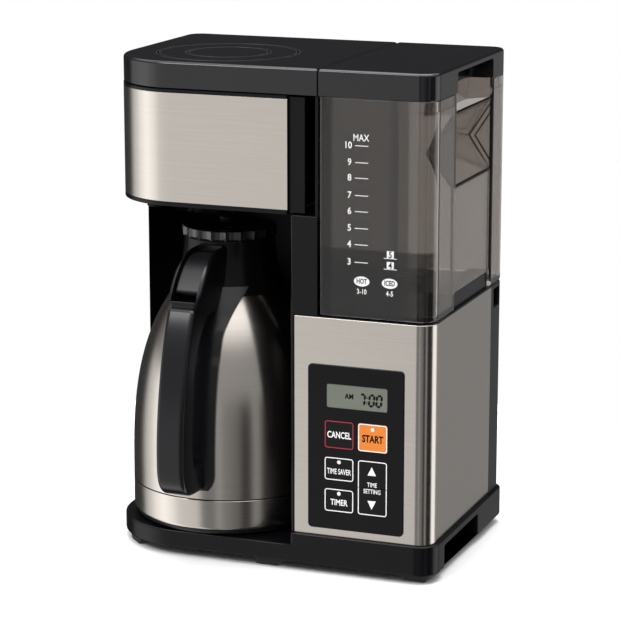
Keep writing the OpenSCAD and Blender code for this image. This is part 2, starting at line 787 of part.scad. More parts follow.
module tank_lid() {
    color(black) on_origin() difference() {
        union() {
            difference() {
                block(tank_x0 - 0.4, body_w, 0, body_d, cover_z, body_h, 0.6, corner_right, corner_rear, 0.6);
                block(tank_x0 - 0.4 + wall, body_w - wall, wall, body_d - wall, cover_z - 1, body_h - wall,
                    1, corner_right - wall, corner_rear - wall, 1);
            }
            box(groove_x - wall, groove_x, side_y0 - 1, side_y1 + 1, cover_z, body_h - 1);
            box(groove_x - wall, body_w - 1, side_y0, side_y0 + wall, cover_z, body_h - 1);
            box(groove_x - wall, body_w - 1, side_y1 - wall, side_y1, cover_z, body_h - 1);
            rod_x(lug_xs[0] + lug_w + 1, lug_xs[1] - 1, lid_hinge_y, lid_hinge_z, 5.4);
            box(lug_xs[0] + lug_w + 1, lug_xs[1] - 1, lid_hinge_y - 2, lid_hinge_y + 2,
                lid_hinge_z, body_h - 1);
        }
        box(groove_x, body_w + 1, side_y0 + wall, side_y1 - wall, cover_z - 1, 373.6);
        difference() {
            box(tank_x0 - 2, body_w + 1, lid_hinge_y, body_d + 1, cover_z - 1, lid_hinge_z);
            rod_x(tank_x0 - 3, body_w + 2, lid_hinge_y, lid_hinge_z, 5.4);
        }
        for (x = lug_xs) {
            box(x - 0.8, x + lug_w + 0.8, lid_hinge_y - 4.4, body_d + 1, cover_z - 1, body_h - wall);
        }
        rod_x(lug_xs[0] - 6, lug_xs[1] + lug_w + 6, lid_hinge_y, lid_hinge_z, lid_pin_r + run);
    }
}

// ---- Carafe ----

function shell_points() = curve_points([carafe_r, 62], [carafe_r, 120], [69, 161], [neck_r, neck_z], 12);
function collar_points(r) = curve_points([neck_r + 0.6, neck_z], [39.5, 209], [35, 222], [r, lid_z0], 8);
module carafe_shell() {
    color(steel) on_origin() translate([carafe_x, carafe_y, 0]) difference() {
        rotate_extrude($fn = 96) polygon(concat(
            [[0, steel_z0], [carafe_r - 3, steel_z0], [carafe_r, steel_z0 + 3]], shell_points(),
            [for (i = [12 : -1 : 0]) shell_points()[i] - [1, 0]],
            [[carafe_r - 1, steel_z0 + 4], [carafe_r - 4, steel_z0 + 1], [0, steel_z0 + 1]]));
    }
}

module carafe_liner() {
    color("#b8b4ae") on_origin() translate([carafe_x, carafe_y, 0]) rotate_extrude($fn = 96)
        polygon(concat([[0, 32], [carafe_r - 14, 32], [carafe_r - liner_in, 39]],
            [for (p = shell_points()) p - [liner_in, 0]],
            [[32.5, 212], [32.5, lid_z0 - 1], [31.7, lid_z0 - 1], [31.7, 212]],
            [for (i = [12 : -1 : 0]) shell_points()[i] - [liner_in + 0.8, 0]],
            [[carafe_r - liner_in - 0.8, 39.4], [carafe_r - 14.4, 32.8], [0, 32.8]]));
}

module carafe_base() {
    color(black) on_origin() translate([carafe_x, carafe_y, 0]) difference() {
        rotate_extrude($fn = 96) polygon([[0, carafe_z0 + 1.6], [60, carafe_z0 + 1.6], [61, carafe_z0],
            [carafe_r - 4, carafe_z0], [carafe_r - 2.4, carafe_z0 + 1.6], [carafe_r - 2.4, steel_z0],
            [0, steel_z0]]);
    }
}

module carafe_collar() {
    color(black) on_origin() translate([carafe_x, carafe_y, 0]) rotate_extrude($fn = 96)
        polygon(concat(collar_points(collar_r), [[collar_r - 2, lid_z0], [collar_r - 2, 216],
            [neck_r - 5, neck_z + 4], [neck_r - 4, neck_z - 3], [neck_r - 1.2, neck_z - 3],
            [neck_r - 1.2, neck_z]]));
}

// Outline of the grip in [y, z]: front curve down, round the foot and up the back
function grip_front() = concat(
    curve_points([26, 236.5], [6, 236], [-12, 214], [-20, 203], 8),
    curve_points([-24, 199], [-36, 180], [-grip_reach, 130], [-grip_reach, 92], 10),
    curve_points([-grip_reach, 84], [-grip_reach, 66], [-40, 58], [-24, 58], 6));
function grip_rear() = concat(
    curve_points([-10, 60], [-18, 74], [grip_back, 74], [grip_back, 92], 6),
    curve_points([grip_back, 100], [grip_back, 150], [-20, 172], [8, 186], 8));

module carafe_handle() {
    color(black) on_origin() difference() {
        union() {
            along_x(carafe_x - grip_w / 2, carafe_x + grip_w / 2)
                polygon(concat(grip_front(), grip_rear(), [[20, 190], [40, 200], [40, 236.5]]));
            along_x(carafe_x - grip_w / 2, carafe_x + grip_w / 2)
                polygon([[-28, 60], [0, 56], [0, 78], [-26, 78]]);
            along_x(carafe_x - hood_w / 2, carafe_x + hood_w / 2)
                polygon([[30, 235.5], [14, 232], [0, 222], [-20, 203], [-14, 196], [10, 190], [34, 204],
                    [34, 235.5]]);
            translate([carafe_x, carafe_y, 0]) intersection() {
                rotate_extrude($fn = 96) polygon(concat([[carafe_r + 3, 56]],
                    [for (p = shell_points()) p + [3, 0]], [[neck_r + 3.6, 204], [30, 204], [30, 56]]));
                box(-strap_w / 2, strap_w / 2, -90, 0, 56, 204);
            }
        }
        translate([carafe_x, carafe_y, 0]) rotate_extrude($fn = 96) polygon(concat(
            [[0, 40], [carafe_r + 0.1, 40]], [for (p = shell_points()) p + [0.1, 0]],
            [for (p = collar_points(collar_r)) p + [0.1, 0]], [[0, 240]]));
        along_x(carafe_x - lever_w / 2 - lever_gap, carafe_x + lever_w / 2 + lever_gap)
            polygon([[30, 238], [12, 242], [-24, 222], [-24, 207], [-19, 202], [-12, 199], [0, 206],
                [14, 220], [30, 223]]);
        rod_x(carafe_x - 12, carafe_x + 12, lever_y, lever_z - 4, 1.5);
    }
}

module lever_pin() {
    color("#c9c9c9") on_origin() rod_x(carafe_x - 11.9, carafe_x + 11.9, lever_y, lever_z - 4, 1.5);
}

module thumb_lever() {
    color(dark) on_origin() difference() {
        along_x(carafe_x - lever_w / 2, carafe_x + lever_w / 2)
            polygon(concat(curve_points([27, 232], [14, 234], [0, 229], [-13, 210], 8),
                [[-12, 207.5], [-9, 208], [4, 222.5], [18, 226], [27, 227.5]]));
        rod_x(carafe_x - 20, carafe_x + 20, lever_y, lever_z - 4, 1.5 + run);
    }
}

module carafe_lid() {
    color(black) on_origin() translate([carafe_x, carafe_y, 0]) difference() {
        union() {
            difference() {
                rod(0, 0, lid_z0 + gap, lid_z1, lid_r);
                for (i = [0 : 15]) rotate([0, 0, 22.5 * i]) translate([lid_r + 2.6, 0, lid_z0 - 1])
                    cylinder(r = 3.6, h = 12, $fn = 32);
            }
            rod(0, 0, 224, lid_z0 + 1, 30.8);
        }
        rotate_extrude()
            polygon([[0, 243.6], [12, 243.6], [27, lid_z1 - 0.4], [27, lid_z1 + 1], [0, lid_z1 + 1]]);
        rod(0, 0, 220, 250, 3.2);
        rod(0, 0, 222, 236, 26);
    }
}

module lid_seal() {
    color("#9a9a96") on_origin() translate([carafe_x, carafe_y, 0]) rotate_extrude()
        polygon([[28.4, 220.6], [31.4, 220.6], [31.4, 222.6], [30.8, 223.9], [28.4, 223.9]]);
}

module pour_valve() {
    color("#6d6f72") on_origin() {
        rod(carafe_x, carafe_y, 226, 243, 3.2 - run);
        rod(carafe_x, carafe_y, 226, 229, 12);
    }
}

base_tray();
base_plate();
rubber_feet();
lower_housing();
rear_housing();
rear_cover();
finger_wall();
front_column();
tank_deck();
steel_wrap();
top_cover();
shower_plate();
shower_head();
control_bezel();
lcd_window();
lcd_module();
key_membrane();
control_board();
power_board();
preheater();
main_heater();
heater_brackets();
thermal_fuses();
water_hoses();
check_valve();
tank_seat();
hinge_pin();
cord_gland();
screws();
door_shell();
door_panel();
basket_holder();
filter_basket();
drip_valve();
drip_spring();
water_tank();
tank_filter();
lid_hinge_pins();
tank_valve();
tank_valve_spring();
tank_lid();
carafe_shell();
carafe_liner();
carafe_base();
carafe_collar();
carafe_handle();
lever_pin();
carafe_lid();
lid_seal();
pour_valve();
thumb_lever();
key_start();
key_cancel();
key_saver();
key_timer();
key_up();
key_down();
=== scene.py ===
"""Looks of the drip coffee maker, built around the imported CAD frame.

Lengths in the modelling code are millimetres in the machine's own coordinates: X from the left side
face, Y from the front face, Z from the table. pt() turns them into the row frame, in metres.
"""

import json
import math

import bmesh
import bpy
from mathutils import Matrix, Vector
from mathutils.bvhtree import BVHTree


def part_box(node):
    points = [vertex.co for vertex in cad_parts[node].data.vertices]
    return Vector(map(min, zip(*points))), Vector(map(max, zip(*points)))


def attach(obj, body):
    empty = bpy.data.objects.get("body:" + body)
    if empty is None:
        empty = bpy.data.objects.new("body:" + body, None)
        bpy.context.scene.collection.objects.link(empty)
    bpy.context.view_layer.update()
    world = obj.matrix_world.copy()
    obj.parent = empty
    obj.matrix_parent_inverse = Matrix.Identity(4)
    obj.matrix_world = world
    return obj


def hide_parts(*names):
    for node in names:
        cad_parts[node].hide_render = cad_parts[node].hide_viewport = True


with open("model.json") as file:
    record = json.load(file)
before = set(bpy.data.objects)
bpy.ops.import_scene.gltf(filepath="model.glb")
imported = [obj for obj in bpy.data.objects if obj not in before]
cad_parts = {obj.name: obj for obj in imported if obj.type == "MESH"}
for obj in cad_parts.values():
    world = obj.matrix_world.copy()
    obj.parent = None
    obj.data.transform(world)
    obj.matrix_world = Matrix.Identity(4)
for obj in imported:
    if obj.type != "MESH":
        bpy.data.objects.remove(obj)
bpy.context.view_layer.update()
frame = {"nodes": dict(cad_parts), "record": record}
MM = 0.001
BODY_W = 264.0
EDGE_STEPS = 5
LETTER_DEPTH = 0.05
CAPITAL = 0.69  # height of a capital letter as a share of the font's size
tank_lo, tank_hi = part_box("water_tank")
ORIGIN_X = tank_hi.x - BODY_W * MM
ORIGIN_Y = tank_lo.y

# ------------------------------------------------------------------ camera
scene = bpy.context.scene
camera_data = bpy.data.cameras.new("camera")
camera_data.sensor_width = 36.0
camera_data.lens = 144.3
camera = bpy.data.objects.new("camera", camera_data)
camera.location = (0.672, -1.718, 0.608)
camera.rotation_euler = (math.radians(77.06), 0.0, math.radians(20.99))
scene.collection.objects.link(camera)
scene.camera = camera
scene.view_settings.view_transform = "Standard"


# ------------------------------------------------------------------ shapes
def pt(x, y, z):
    return (ORIGIN_X + x * MM, ORIGIN_Y + y * MM, z * MM)


def flat(u, v, w):
    """Outline in X and Y, height along Z."""
    return (u, v, w)


def front(u, v, w):
    """Outline in X and Z, height towards the viewer, from the front plane."""
    return (u, -w, v)


def side(u, v, w):
    """Outline in Y and Z, height along X."""
    return (w, u, v)


def xz(u, v, w):
    """Outline in X and Z, height along Y."""
    return (u, w, v)


def make(name, verts, faces):
    mesh = bpy.data.meshes.new(name)
    mesh.from_pydata([pt(*v) for v in verts], [], faces)
    bm = bmesh.new()
    bm.from_mesh(mesh)
    bmesh.ops.recalc_face_normals(bm, faces=bm.faces)
    bm.to_mesh(mesh)
    bm.free()
    obj = bpy.data.objects.new(name, mesh)
    scene.collection.objects.link(obj)
    return obj


def arc(cx, cy, r, a0, a1, n):
    return [
        (cx + r * math.cos(math.radians(a0 + (a1 - a0) * i / n)),
         cy + r * math.sin(math.radians(a0 + (a1 - a0) * i / n)))
        for i in range(n + 1)
    ]


def plan(x0, x1, y0, y1, radii, n=12):
    """Outline with its own radius at each corner: front left, front right, rear right, rear left."""
    fl, fr, br, bl = radii
    return (
        arc(x0 + fl, y0 + fl, fl, 180, 270, n)
        + arc(x1 - fr, y0 + fr, fr, 270, 360, n)
        + arc(x1 - br, y1 - br, br, 0, 90, n)
        + arc(x0 + bl, y1 - bl, bl, 90, 180, n)
    )


def loft(name, rings, ends=True, ring_closed=True):
    n = len(rings[0])
    verts = [p for ring in rings for p in ring]
    span = range(n) if ring_closed else range(n - 1)
    faces = [
        (i * n + k, i * n + (k + 1) % n, (i + 1) * n + (k + 1) % n, (i + 1) * n + k)
        for i in range(len(rings) - 1) for k in span
    ]
    if ends:
        faces += [tuple(range(n)), tuple(range((len(rings) - 1) * n, len(rings) * n))]
    return make(name, verts, faces)


def slab(name, x0, x1, y0, y1, z0, z1, radii, top=0.0, bottom=0.0, place=flat, n=12):
    """A rounded plate, with its edges rounded by top and bottom."""
    if not isinstance(radii, (tuple, list)):
        radii = (radii,) * 4

    def ring(d, z):
        out = plan(x0 + d, x1 - d, y0 + d, y1 - d, [max(r - d, 0.04) for r in radii], n)
        return [place(u, v, z) for u, v in out]

    levels = []
    if bottom:
        for i in range(EDGE_STEPS + 1):
            a = math.pi / 2 * i / EDGE_STEPS
            levels.append((bottom * (1 - math.sin(a)), z0 + bottom * (1 - math.cos(a))))
    else:
        levels.append((0, z0))
    if top:
        for i in range(EDGE_STEPS + 1):
            a = math.pi / 2 * i / EDGE_STEPS
            levels.append((top * (1 - math.cos(a)), z1 - top * (1 - math.sin(a))))
    else:
        levels.append((0, z1))
    return loft(name, [ring(d, z) for d, z in levels])


def block(name, x0, x1, y0, y1, z0, z1):
    c = [(x, y, z) for z in (z0, z1) for x, y in ((x0, y0), (x1, y0), (x1, y1), (x0, y1))]
    faces = [(0, 1, 2, 3), (4, 5, 6, 7), (0, 1, 5, 4), (1, 2, 6, 5), (2, 3, 7, 6), (3, 0, 4, 7)]
    return make(name, c, faces)


def extrude(name, outline, h0, h1, place=flat):
    return loft(name, [[place(u, v, h) for u, v in outline] for h in (h0, h1)])


def rod(name, a, b, r, n=32, place=flat):
    """A cylinder along the height axis of place: a = (u, v, h0), b = h1."""
    u, v, h0 = a
    return extrude(name, arc(u, v, r, 0, 360 - 360 / n, n - 1), h0, b, place)


def move(obj, where, angle, axis):
    """Takes a shape made round the machine's origin to its place, turned about one axis."""
    turned = Matrix.Translation(pt(*where)) @ Matrix.Rotation(angle, 4, axis)
    obj.data.transform(turned @ Matrix.Translation(-Vector(pt(0, 0, 0))))


def lathe(name, profile, cx, cy, n=128, closed=True, wave=None):
    """Turns (r, z) points about a vertical axis. wave(angle, r, z) may change the radius."""
    verts, index = [], []
    for r, z in profile:
        if r < 1e-6:
            index.append([len(verts)] * n)
            verts.append((cx, cy, z))
            continue
        index.append(list(range(len(verts), len(verts) + n)))
        for k in range(n):
            a = 2 * math.pi * k / n
            q = wave(a, r, z) if wave else r
            verts.append((cx + q * math.cos(a), cy + q * math.sin(a), z))
    faces = []
    count = len(profile)
    for i in range(count if closed else count - 1):
        lo, hi = index[i], index[(i + 1) % count]
        for k in range(n):
            m = (k + 1) % n
            ring = [lo[k], lo[m], hi[m], hi[k]]
            corners = [v for j, v in enumerate(ring) if v not in ring[:j]]
            if len(corners) > 2:
                faces.append(tuple(corners))
    return make(name, verts, faces)


def stroke(name, path, width, h0, h1, place=front, closed=False):
    """A flat line of constant width along a path."""
    count = len(path)
    rings = []
    for i, (u, v) in enumerate(path):
        a = path[(i - 1) % count] if closed or i else path[i]
        b = path[(i + 1) % count] if closed or i < count - 1 else path[i]
        du, dv = b[0] - a[0], b[1] - a[1]
        length = math.hypot(du, dv) or 1.0
        nu, nv = -dv / length * width / 2, du / length * width / 2
        rings.append([place(u + nu, v + nv, h0), place(u - nu, v - nv, h0),
                      place(u - nu, v - nv, h1), place(u + nu, v + nv, h1)])
    if closed:
        rings.append(rings[0])
        obj = loft(name, rings, ends=False)
        weld(obj)
        return obj
    return loft(name, rings)


def weld(obj, distance=1e-6):
    bm = bmesh.new()
    bm.from_mesh(obj.data)
    bmesh.ops.remove_doubles(bm, verts=bm.verts, dist=distance)
    bmesh.ops.recalc_face_normals(bm, faces=bm.faces)
    bm.to_mesh(obj.data)
    bm.free()


def bake_down(obj):
    """Replaces an object's mesh with what its modifiers make of it."""
    bpy.context.view_layer.update()
    graph = bpy.context.evaluated_depsgraph_get()
    mesh = bpy.data.meshes.new_from_object(obj.evaluated_get(graph), depsgraph=graph)
    obj.modifiers.clear()
    obj.data = mesh
    return obj


def combine(obj, tools, operation):
    for tool in tools:
        m = obj.modifiers.new("cut", "BOOLEAN")
        m.operation = operation
        m.solver = "MANIFOLD"
        m.object = tool
    bake_down(obj)
    for tool in tools:
        bpy.data.objects.remove(tool)
    return obj


def carve(obj, *tools):
    return combine(obj, tools, "DIFFERENCE")


def fuse(obj, *tools):
    return combine(obj, tools, "UNION")


def round_edges(obj, width, segments=3, angle=35):
    m = obj.modifiers.new("round", "BEVEL")
    m.width = width * MM
    m.segments = segments
    m.limit_method = "ANGLE"
    m.angle_limit = math.radians(angle)
    m.use_clamp_overlap = False
    m.miter_outer = "MITER_ARC"
    return bake_down(obj)


def shade(obj, angle=38):
    obj.data.shade_smooth()
    obj.data.set_sharp_from_angle(angle=math.radians(angle))
    m = obj.modifiers.new("even", "WEIGHTED_NORMAL")
    m.keep_sharp = True
    m.weight = 80
    return bake_down(obj)


def join(name, parts):
    """One object of several separate solids."""
    verts, faces = [], []
    for part in parts:
        base = len(verts)
        verts += [tuple(part.matrix_world @ v.co) for v in part.data.vertices]
        faces += [tuple(base + i for i in p.vertices) for p in part.data.polygons]
        bpy.data.objects.remove(part)
    mesh = bpy.data.meshes.new(name)
    mesh.from_pydata(verts, [], faces)
    mesh.update()
    obj = bpy.data.objects.new(name, mesh)
    scene.collection.objects.link(obj)
    return obj


def cad_faces(node):
    """The corners and faces of a CAD node."""
    source = frame["nodes"][node].data
    return [tuple(v.co) for v in source.vertices], [tuple(p.vertices) for p in source.polygons]


def cad_copy(name, node):
    """A new mesh on the CAD node's own faces, its flat faces merged again, ready for rounding."""
    verts, faces = cad_faces(node)
    mesh = bpy.data.meshes.new(name)
    mesh.from_pydata(verts, [], faces)
    bm = bmesh.new()
    bm.from_mesh(mesh)
    bmesh.ops.remove_doubles(bm, verts=bm.verts, dist=2e-6)
    bmesh.ops.dissolve_limit(bm, angle_limit=math.radians(0.6), verts=bm.verts, edges=bm.edges)
    bmesh.ops.recalc_face_normals(bm, faces=bm.faces)
    bm.to_mesh(mesh)
    bm.free()
    obj = bpy.data.objects.new(name, mesh)
    scene.collection.objects.link(obj)
    return obj


def curve(p0, p1, p2, p3, n):
    """Points along a cubic curve in the outline's plane."""
    out = []
    for i in range(n + 1):
        t = i / n
        w = ((1 - t) ** 3, 3 * t * (1 - t) ** 2, 3 * t * t * (1 - t), t ** 3)
        out.append(tuple(sum(k * p[j] for k, p in zip(w, (p0, p1, p2, p3))) for j in (0, 1)))
    return out


def text(name, words, x, z, height, h, squeeze=0.8, bold=0.0):
    """Lettering on the front, centred at x and z, height is that of a capital letter."""
    data = bpy.data.curves.new(name, "FONT")
    data.body = words
    data.size = height * MM / CAPITAL
    data.align_x = "CENTER"
    data.align_y = "CENTER"
    data.extrude = LETTER_DEPTH * MM / 2
    data.offset = bold * MM
    data.resolution_u = 3
    obj = bpy.data.objects.new(name, data)
    scene.collection.objects.link(obj)
    bpy.context.view_layer.update()
    graph = bpy.context.evaluated_depsgraph_get()
    mesh = bpy.data.meshes.new_from_object(obj.evaluated_get(graph), depsgraph=graph)
    bpy.data.objects.remove(obj)
    upright = Matrix.Translation(pt(x, -h - LETTER_DEPTH / 2, z)) @ Matrix.Rotation(math.pi / 2, 4, "X")
    mesh.transform(upright @ Matrix.Diagonal((squeeze, 1, 1, 1)))
    out = bpy.data.objects.new(name, mesh)
    scene.collection.objects.link(out)
    weld(out)
    return out


# ------------------------------------------------------------------ materials
def surface(name, low, high, rough, grain=2600.0, stretch=(1, 1, 1), bump=0.04, depth=0.02, broad=25.0,
            metallic=0.0, **sockets):
    """Colour between low and high and roughness between two values by noise, with a fine bump."""
    material = bpy.data.materials.new(name)
    material.use_nodes = True
    tree = material.node_tree
    shader = tree.nodes["Principled BSDF"]
    shader.inputs["Metallic"].default_value = metallic
    for key, value in sockets.items():
        shader.inputs[key.replace("_", " ")].default_value = value
    where = tree.nodes.new("ShaderNodeTexCoord")
    scaling = tree.nodes.new("ShaderNodeMapping")
    scaling.inputs["Scale"].default_value = stretch
    tree.links.new(where.outputs["Object"], scaling.inputs["Vector"])

    def noise(scale, detail):
        node = tree.nodes.new("ShaderNodeTexNoise")
        node.inputs["Scale"].default_value = scale
        node.inputs["Detail"].default_value = detail
        tree.links.new(scaling.outputs["Vector"], node.inputs["Vector"])
        return node.outputs["Fac"]

    wide, fine = noise(broad, 4.0), noise(grain, 2.0)
    blend = tree.nodes.new("ShaderNodeMix")
    blend.data_type = "RGBA"
    blend.inputs["A"].default_value = (*low, 1)
    blend.inputs["B"].default_value = (*high, 1)
    tree.links.new(wide, blend.inputs["Factor"])
    tree.links.new(blend.outputs["Result"], shader.inputs["Base Color"])
    spread = tree.nodes.new("ShaderNodeMapRange")
    spread.inputs["From Min"].default_value = 0.3
    spread.inputs["From Max"].default_value = 0.7
    spread.inputs["To Min"].default_value = rough[0]
    spread.inputs["To Max"].default_value = rough[1]
    tree.links.new(fine, spread.inputs["Value"])
    tree.links.new(spread.outputs["Result"], shader.inputs["Roughness"])
    relief = tree.nodes.new("ShaderNodeBump")
    relief.inputs["Strength"].default_value = bump
    relief.inputs["Distance"].default_value = depth * MM
    tree.links.new(fine, relief.inputs["Height"])
    tree.links.new(relief.outputs["Normal"], shader.inputs["Normal"])
    return material


ACROSS = (0.01, 0.01, 1)
M = {
    "black_plastic": surface("black_plastic", (0.0022, 0.0022, 0.003), (0.0036, 0.0036, 0.0046), (0.2, 0.26),
                             bump=0.015, IOR=1.28),
    "dark_plastic": surface("dark_plastic", (0.005, 0.005, 0.006), (0.008, 0.008, 0.0095), (0.36, 0.46),
                            bump=0.05, IOR=1.4),
    "brushed_steel": surface("brushed_steel", (0.53, 0.49, 0.45), (0.585, 0.545, 0.50), (0.17, 0.23),
                             grain=4200.0, stretch=ACROSS, bump=0.025, depth=0.005, broad=1100.0, metallic=1.0),
    "inner_steel": surface("inner_steel", (0.56, 0.54, 0.52), (0.66, 0.64, 0.62), (0.2, 0.32), grain=1500.0,
                           stretch=ACROSS, bump=0.03, broad=200.0, metallic=1.0),
    "tank_plastic": surface("tank_plastic", (0.425, 0.392, 0.368), (0.455, 0.42, 0.393), (0.03, 0.06), bump=0.0,
                            Transmission_Weight=0.95, IOR=1.45),
    "panel_black": surface("panel_black", (0.0024, 0.0024, 0.0032), (0.004, 0.004, 0.005), (0.26, 0.34),
                           bump=0.03, IOR=1.27),
    "lcd_lens": surface("lcd_lens", (0.165, 0.18, 0.147), (0.18, 0.195, 0.162), (0.16, 0.24), bump=0.005,
                        Transmission_Weight=0.12, IOR=1.3),
    "lcd_grey": surface("lcd_grey", (0.32, 0.36, 0.29), (0.36, 0.40, 0.325), (0.35, 0.45), bump=0.03),
    "orange_plastic": surface("orange_plastic", (0.72, 0.19, 0.008), (0.76, 0.21, 0.012), (0.35, 0.45),
                              bump=0.05),
    "key_black": surface("key_black", (0.003, 0.003, 0.004), (0.0045, 0.0045, 0.0055), (0.28, 0.36),
                         bump=0.03, IOR=1.3),
    "rubber": surface("rubber", (0.012, 0.012, 0.012), (0.02, 0.02, 0.02), (0.7, 0.85), bump=0.3),
    "silicone": surface("silicone", (0.55, 0.54, 0.5), (0.62, 0.6, 0.56), (0.4, 0.55), bump=0.1),
    "red_silicone": surface("red_silicone", (0.22, 0.03, 0.02), (0.28, 0.05, 0.035), (0.45, 0.6),
                            bump=0.15),
    "circuit_board": surface("circuit_board", (0.02, 0.13, 0.05), (0.035, 0.18, 0.07), (0.35, 0.5),
                             grain=400.0, bump=0.2),
    "heater_metal": surface("heater_metal", (0.55, 0.56, 0.57), (0.65, 0.66, 0.67), (0.35, 0.5),
                            bump=0.2, metallic=1.0),
    "bracket_metal": surface("bracket_metal", (0.48, 0.49, 0.5), (0.58, 0.59, 0.6), (0.3, 0.45),
                             bump=0.15, metallic=1.0),
    "bright_steel": surface("bright_steel", (0.6, 0.6, 0.6), (0.7, 0.7, 0.7), (0.12, 0.22),
                            bump=0.05, metallic=1.0),
    "pale_plastic": surface("pale_plastic", (0.7, 0.68, 0.62), (0.78, 0.76, 0.7), (0.4, 0.55), bump=0.1),
}
INK = {
    "white_ink": surface("white_ink", (0.8, 0.8, 0.8), (0.88, 0.88, 0.88), (0.45, 0.6), bump=0.1),
    "red_ink": surface("red_ink", (0.3, 0.012, 0.022), (0.36, 0.018, 0.03), (0.45, 0.6), bump=0.1),
    "dark_ink": surface("dark_ink", (0.003, 0.003, 0.003), (0.006, 0.006, 0.006), (0.45, 0.6),
                        bump=0.1, IOR=1.2),
    "lamp": surface("lamp", (0.8, 0.7, 0.69), (0.86, 0.76, 0.75), (0.2, 0.3), bump=0.02),
}
LOOK = {
    "cover_black": surface("cover_black", (0.0065, 0.0067, 0.008), (0.0085, 0.0087, 0.0105), (0.12, 0.16),
                           bump=0.01, IOR=1.48),
    # Painted highlight: lighter grey for the rims of the cover's ring grooves
    "ring_edge_highlight": surface("ring_edge_highlight", (0.035, 0.036, 0.039), (0.045, 0.046, 0.05), (0.25, 0.35), bump=0.02),
    "cap_black": surface("cap_black", (0.012, 0.0115, 0.0115), (0.016, 0.0155, 0.0155), (0.16, 0.22),
                         bump=0.01, IOR=1.7),
    "grip_black": surface("grip_black", (0.0035, 0.0036, 0.005), (0.0055, 0.0056, 0.007), (0.2, 0.26),
                          bump=0.015, IOR=1.42),
    # Painted shade: the dark beads along the finger recess's edges
    "tank_edge_shade": surface("tank_edge_shade", (0.006, 0.0055, 0.0055), (0.01, 0.009, 0.009), (0.12, 0.2),
                         bump=0.02),
    # Painted shade: a darker, duller black for the bay's walls, the vent slots' floors and the carafe's seam
    # groove
    "painted_shade_black": surface("painted_shade_black", (0.0012, 0.0011, 0.0012), (0.002, 0.0018, 0.002), (0.42, 0.5),
                         bump=0.03, IOR=1.22),
}


BEHIND_FRONT_WALL = (pt(0, 4, 0)[1], pt(0, 9, 0)[1])


def paint_shade(material, axis, start, end, low, front_wall=False):
    """Painted shade: multiplies the colour by low up to start, rising to one at end; front_wall keeps it to
    that wall.
    """
    tree = material.node_tree
    base = tree.nodes["Principled BSDF"].inputs["Base Color"]
    before = base.links[0].from_socket
    split = tree.nodes.new("ShaderNodeSeparateXYZ")
    tree.links.new(tree.nodes["Texture Coordinate"].outputs["Object"], split.inputs["Vector"])

    def rising(which, a, b, least):
        level = tree.nodes.new("ShaderNodeMapRange")
        level.inputs["From Min"].default_value = a
        level.inputs["From Max"].default_value = b
        level.inputs["To Min"].default_value = least
        tree.links.new(split.outputs[which], level.inputs["Value"])
        return level.outputs["Result"]

    share = rising(axis, start, end, low)
    if front_wall:
        larger = tree.nodes.new("ShaderNodeMath")
        larger.operation = "MAXIMUM"
        tree.links.new(share, larger.inputs[0])
        tree.links.new(rising("Y", *BEHIND_FRONT_WALL, 0.0), larger.inputs[1])
        share = larger.outputs[0]
    times = tree.nodes.new("ShaderNodeVectorMath")
    times.operation = "SCALE"
    tree.links.new(before, times.inputs["Vector"])
    tree.links.new(share, times.inputs["Scale"])
    tree.links.new(times.outputs["Vector"], base)


# Painted shade on the clear tank: darker along its left margin, on the lower part of its front wall, and on all
# walls behind the front wall
paint_shade(M["tank_plastic"], "X", pt(184.5, 0, 0)[0], pt(187, 0, 0)[0], 0.3)
paint_shade(M["tank_plastic"], "Z", 0.2478, 0.2496, 0.3, front_wall=True)
paint_shade(M["tank_plastic"], "Y", *BEHIND_FRONT_WALL, 0.72)
SLOT_OF = {p["node"]: p["material_slot"] for p in frame["record"]["subparts"]}


def settle(obj, body, slot, nodes=(), ink=None, smooth=38, look=None):
    """Finish, body, slot and the CAD nodes that a piece stands for."""
    shade(obj, smooth)
    obj.data.materials.clear()
    obj.data.materials.append(INK[ink] if ink else LOOK[look] if look else M[slot])
    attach(obj, body)
    if nodes:
        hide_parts(*nodes)
    return obj


def hold_to(obj, node, reach):
    """Brings corners that the rounding threw off the CAD node's surface back onto it."""
    surface_tree = BVHTree.FromPolygons(*cad_faces(node))
    for v in obj.data.vertices:
        near, _, _, distance = surface_tree.find_nearest(v.co)
        if distance > reach * MM:
            v.co = near


def soften(node, body, width=0.5, segments=2, angle=40, look=None):
    """The CAD node's own shape with moulded edges."""
    obj = cad_copy(node + "_moulded", node)
    round_edges(obj, width, segments, angle)
    hold_to(obj, node, max(0.15, 0.45 * width))
    return settle(obj, body, SLOT_OF[node], [node], look=look)


# ------------------------------------------------------------------ numbers of the machine
WALL = 2.4
DEPTH = 176.5
TOP = 378.0
COVER_Z = 358.4
SEAM_X = 175.0
WRAP_Z0, WRAP_Z1 = 29.4, 195.9
CX, CY = 76.8, 69.0      # the carafe's axis, also that of the cover's rings
HINGE = (170.5, 364.4)   # the tank lid's hinge, in Y and Z
TANK_Z0 = 197.2
OUTLET = (205, 120)      # the tank's outlet, in X and Y
LEVER_PIN = (22, 229)    # in Y and Z

# ------------------------------------------------------------------ top cover
cover = slab("top_cover_shell", 0.8, SEAM_X - 0.4, 0.8, DEPTH, COVER_Z, TOP, (57, 0.8, 0.8, 12),
             top=2.4, bottom=0.5)
tools = [slab("t", 3.2, SEAM_X - 2.8, 3.2, DEPTH - WALL, COVER_Z - 1, TOP - 3.2, (54.6, 1, 1, 9.6), top=1.0)]
GROOVE_WIDTH = 1.3
for r in (53.6, 31.6):
    inner_r = r - GROOVE_WIDTH
    groove = [(inner_r, TOP - 0.9), (r, TOP - 0.9), (r + 0.25, TOP + 1), (inner_r - 0.25, TOP + 1)]
    tools.append(lathe("t", groove, CX, CY, n=160))
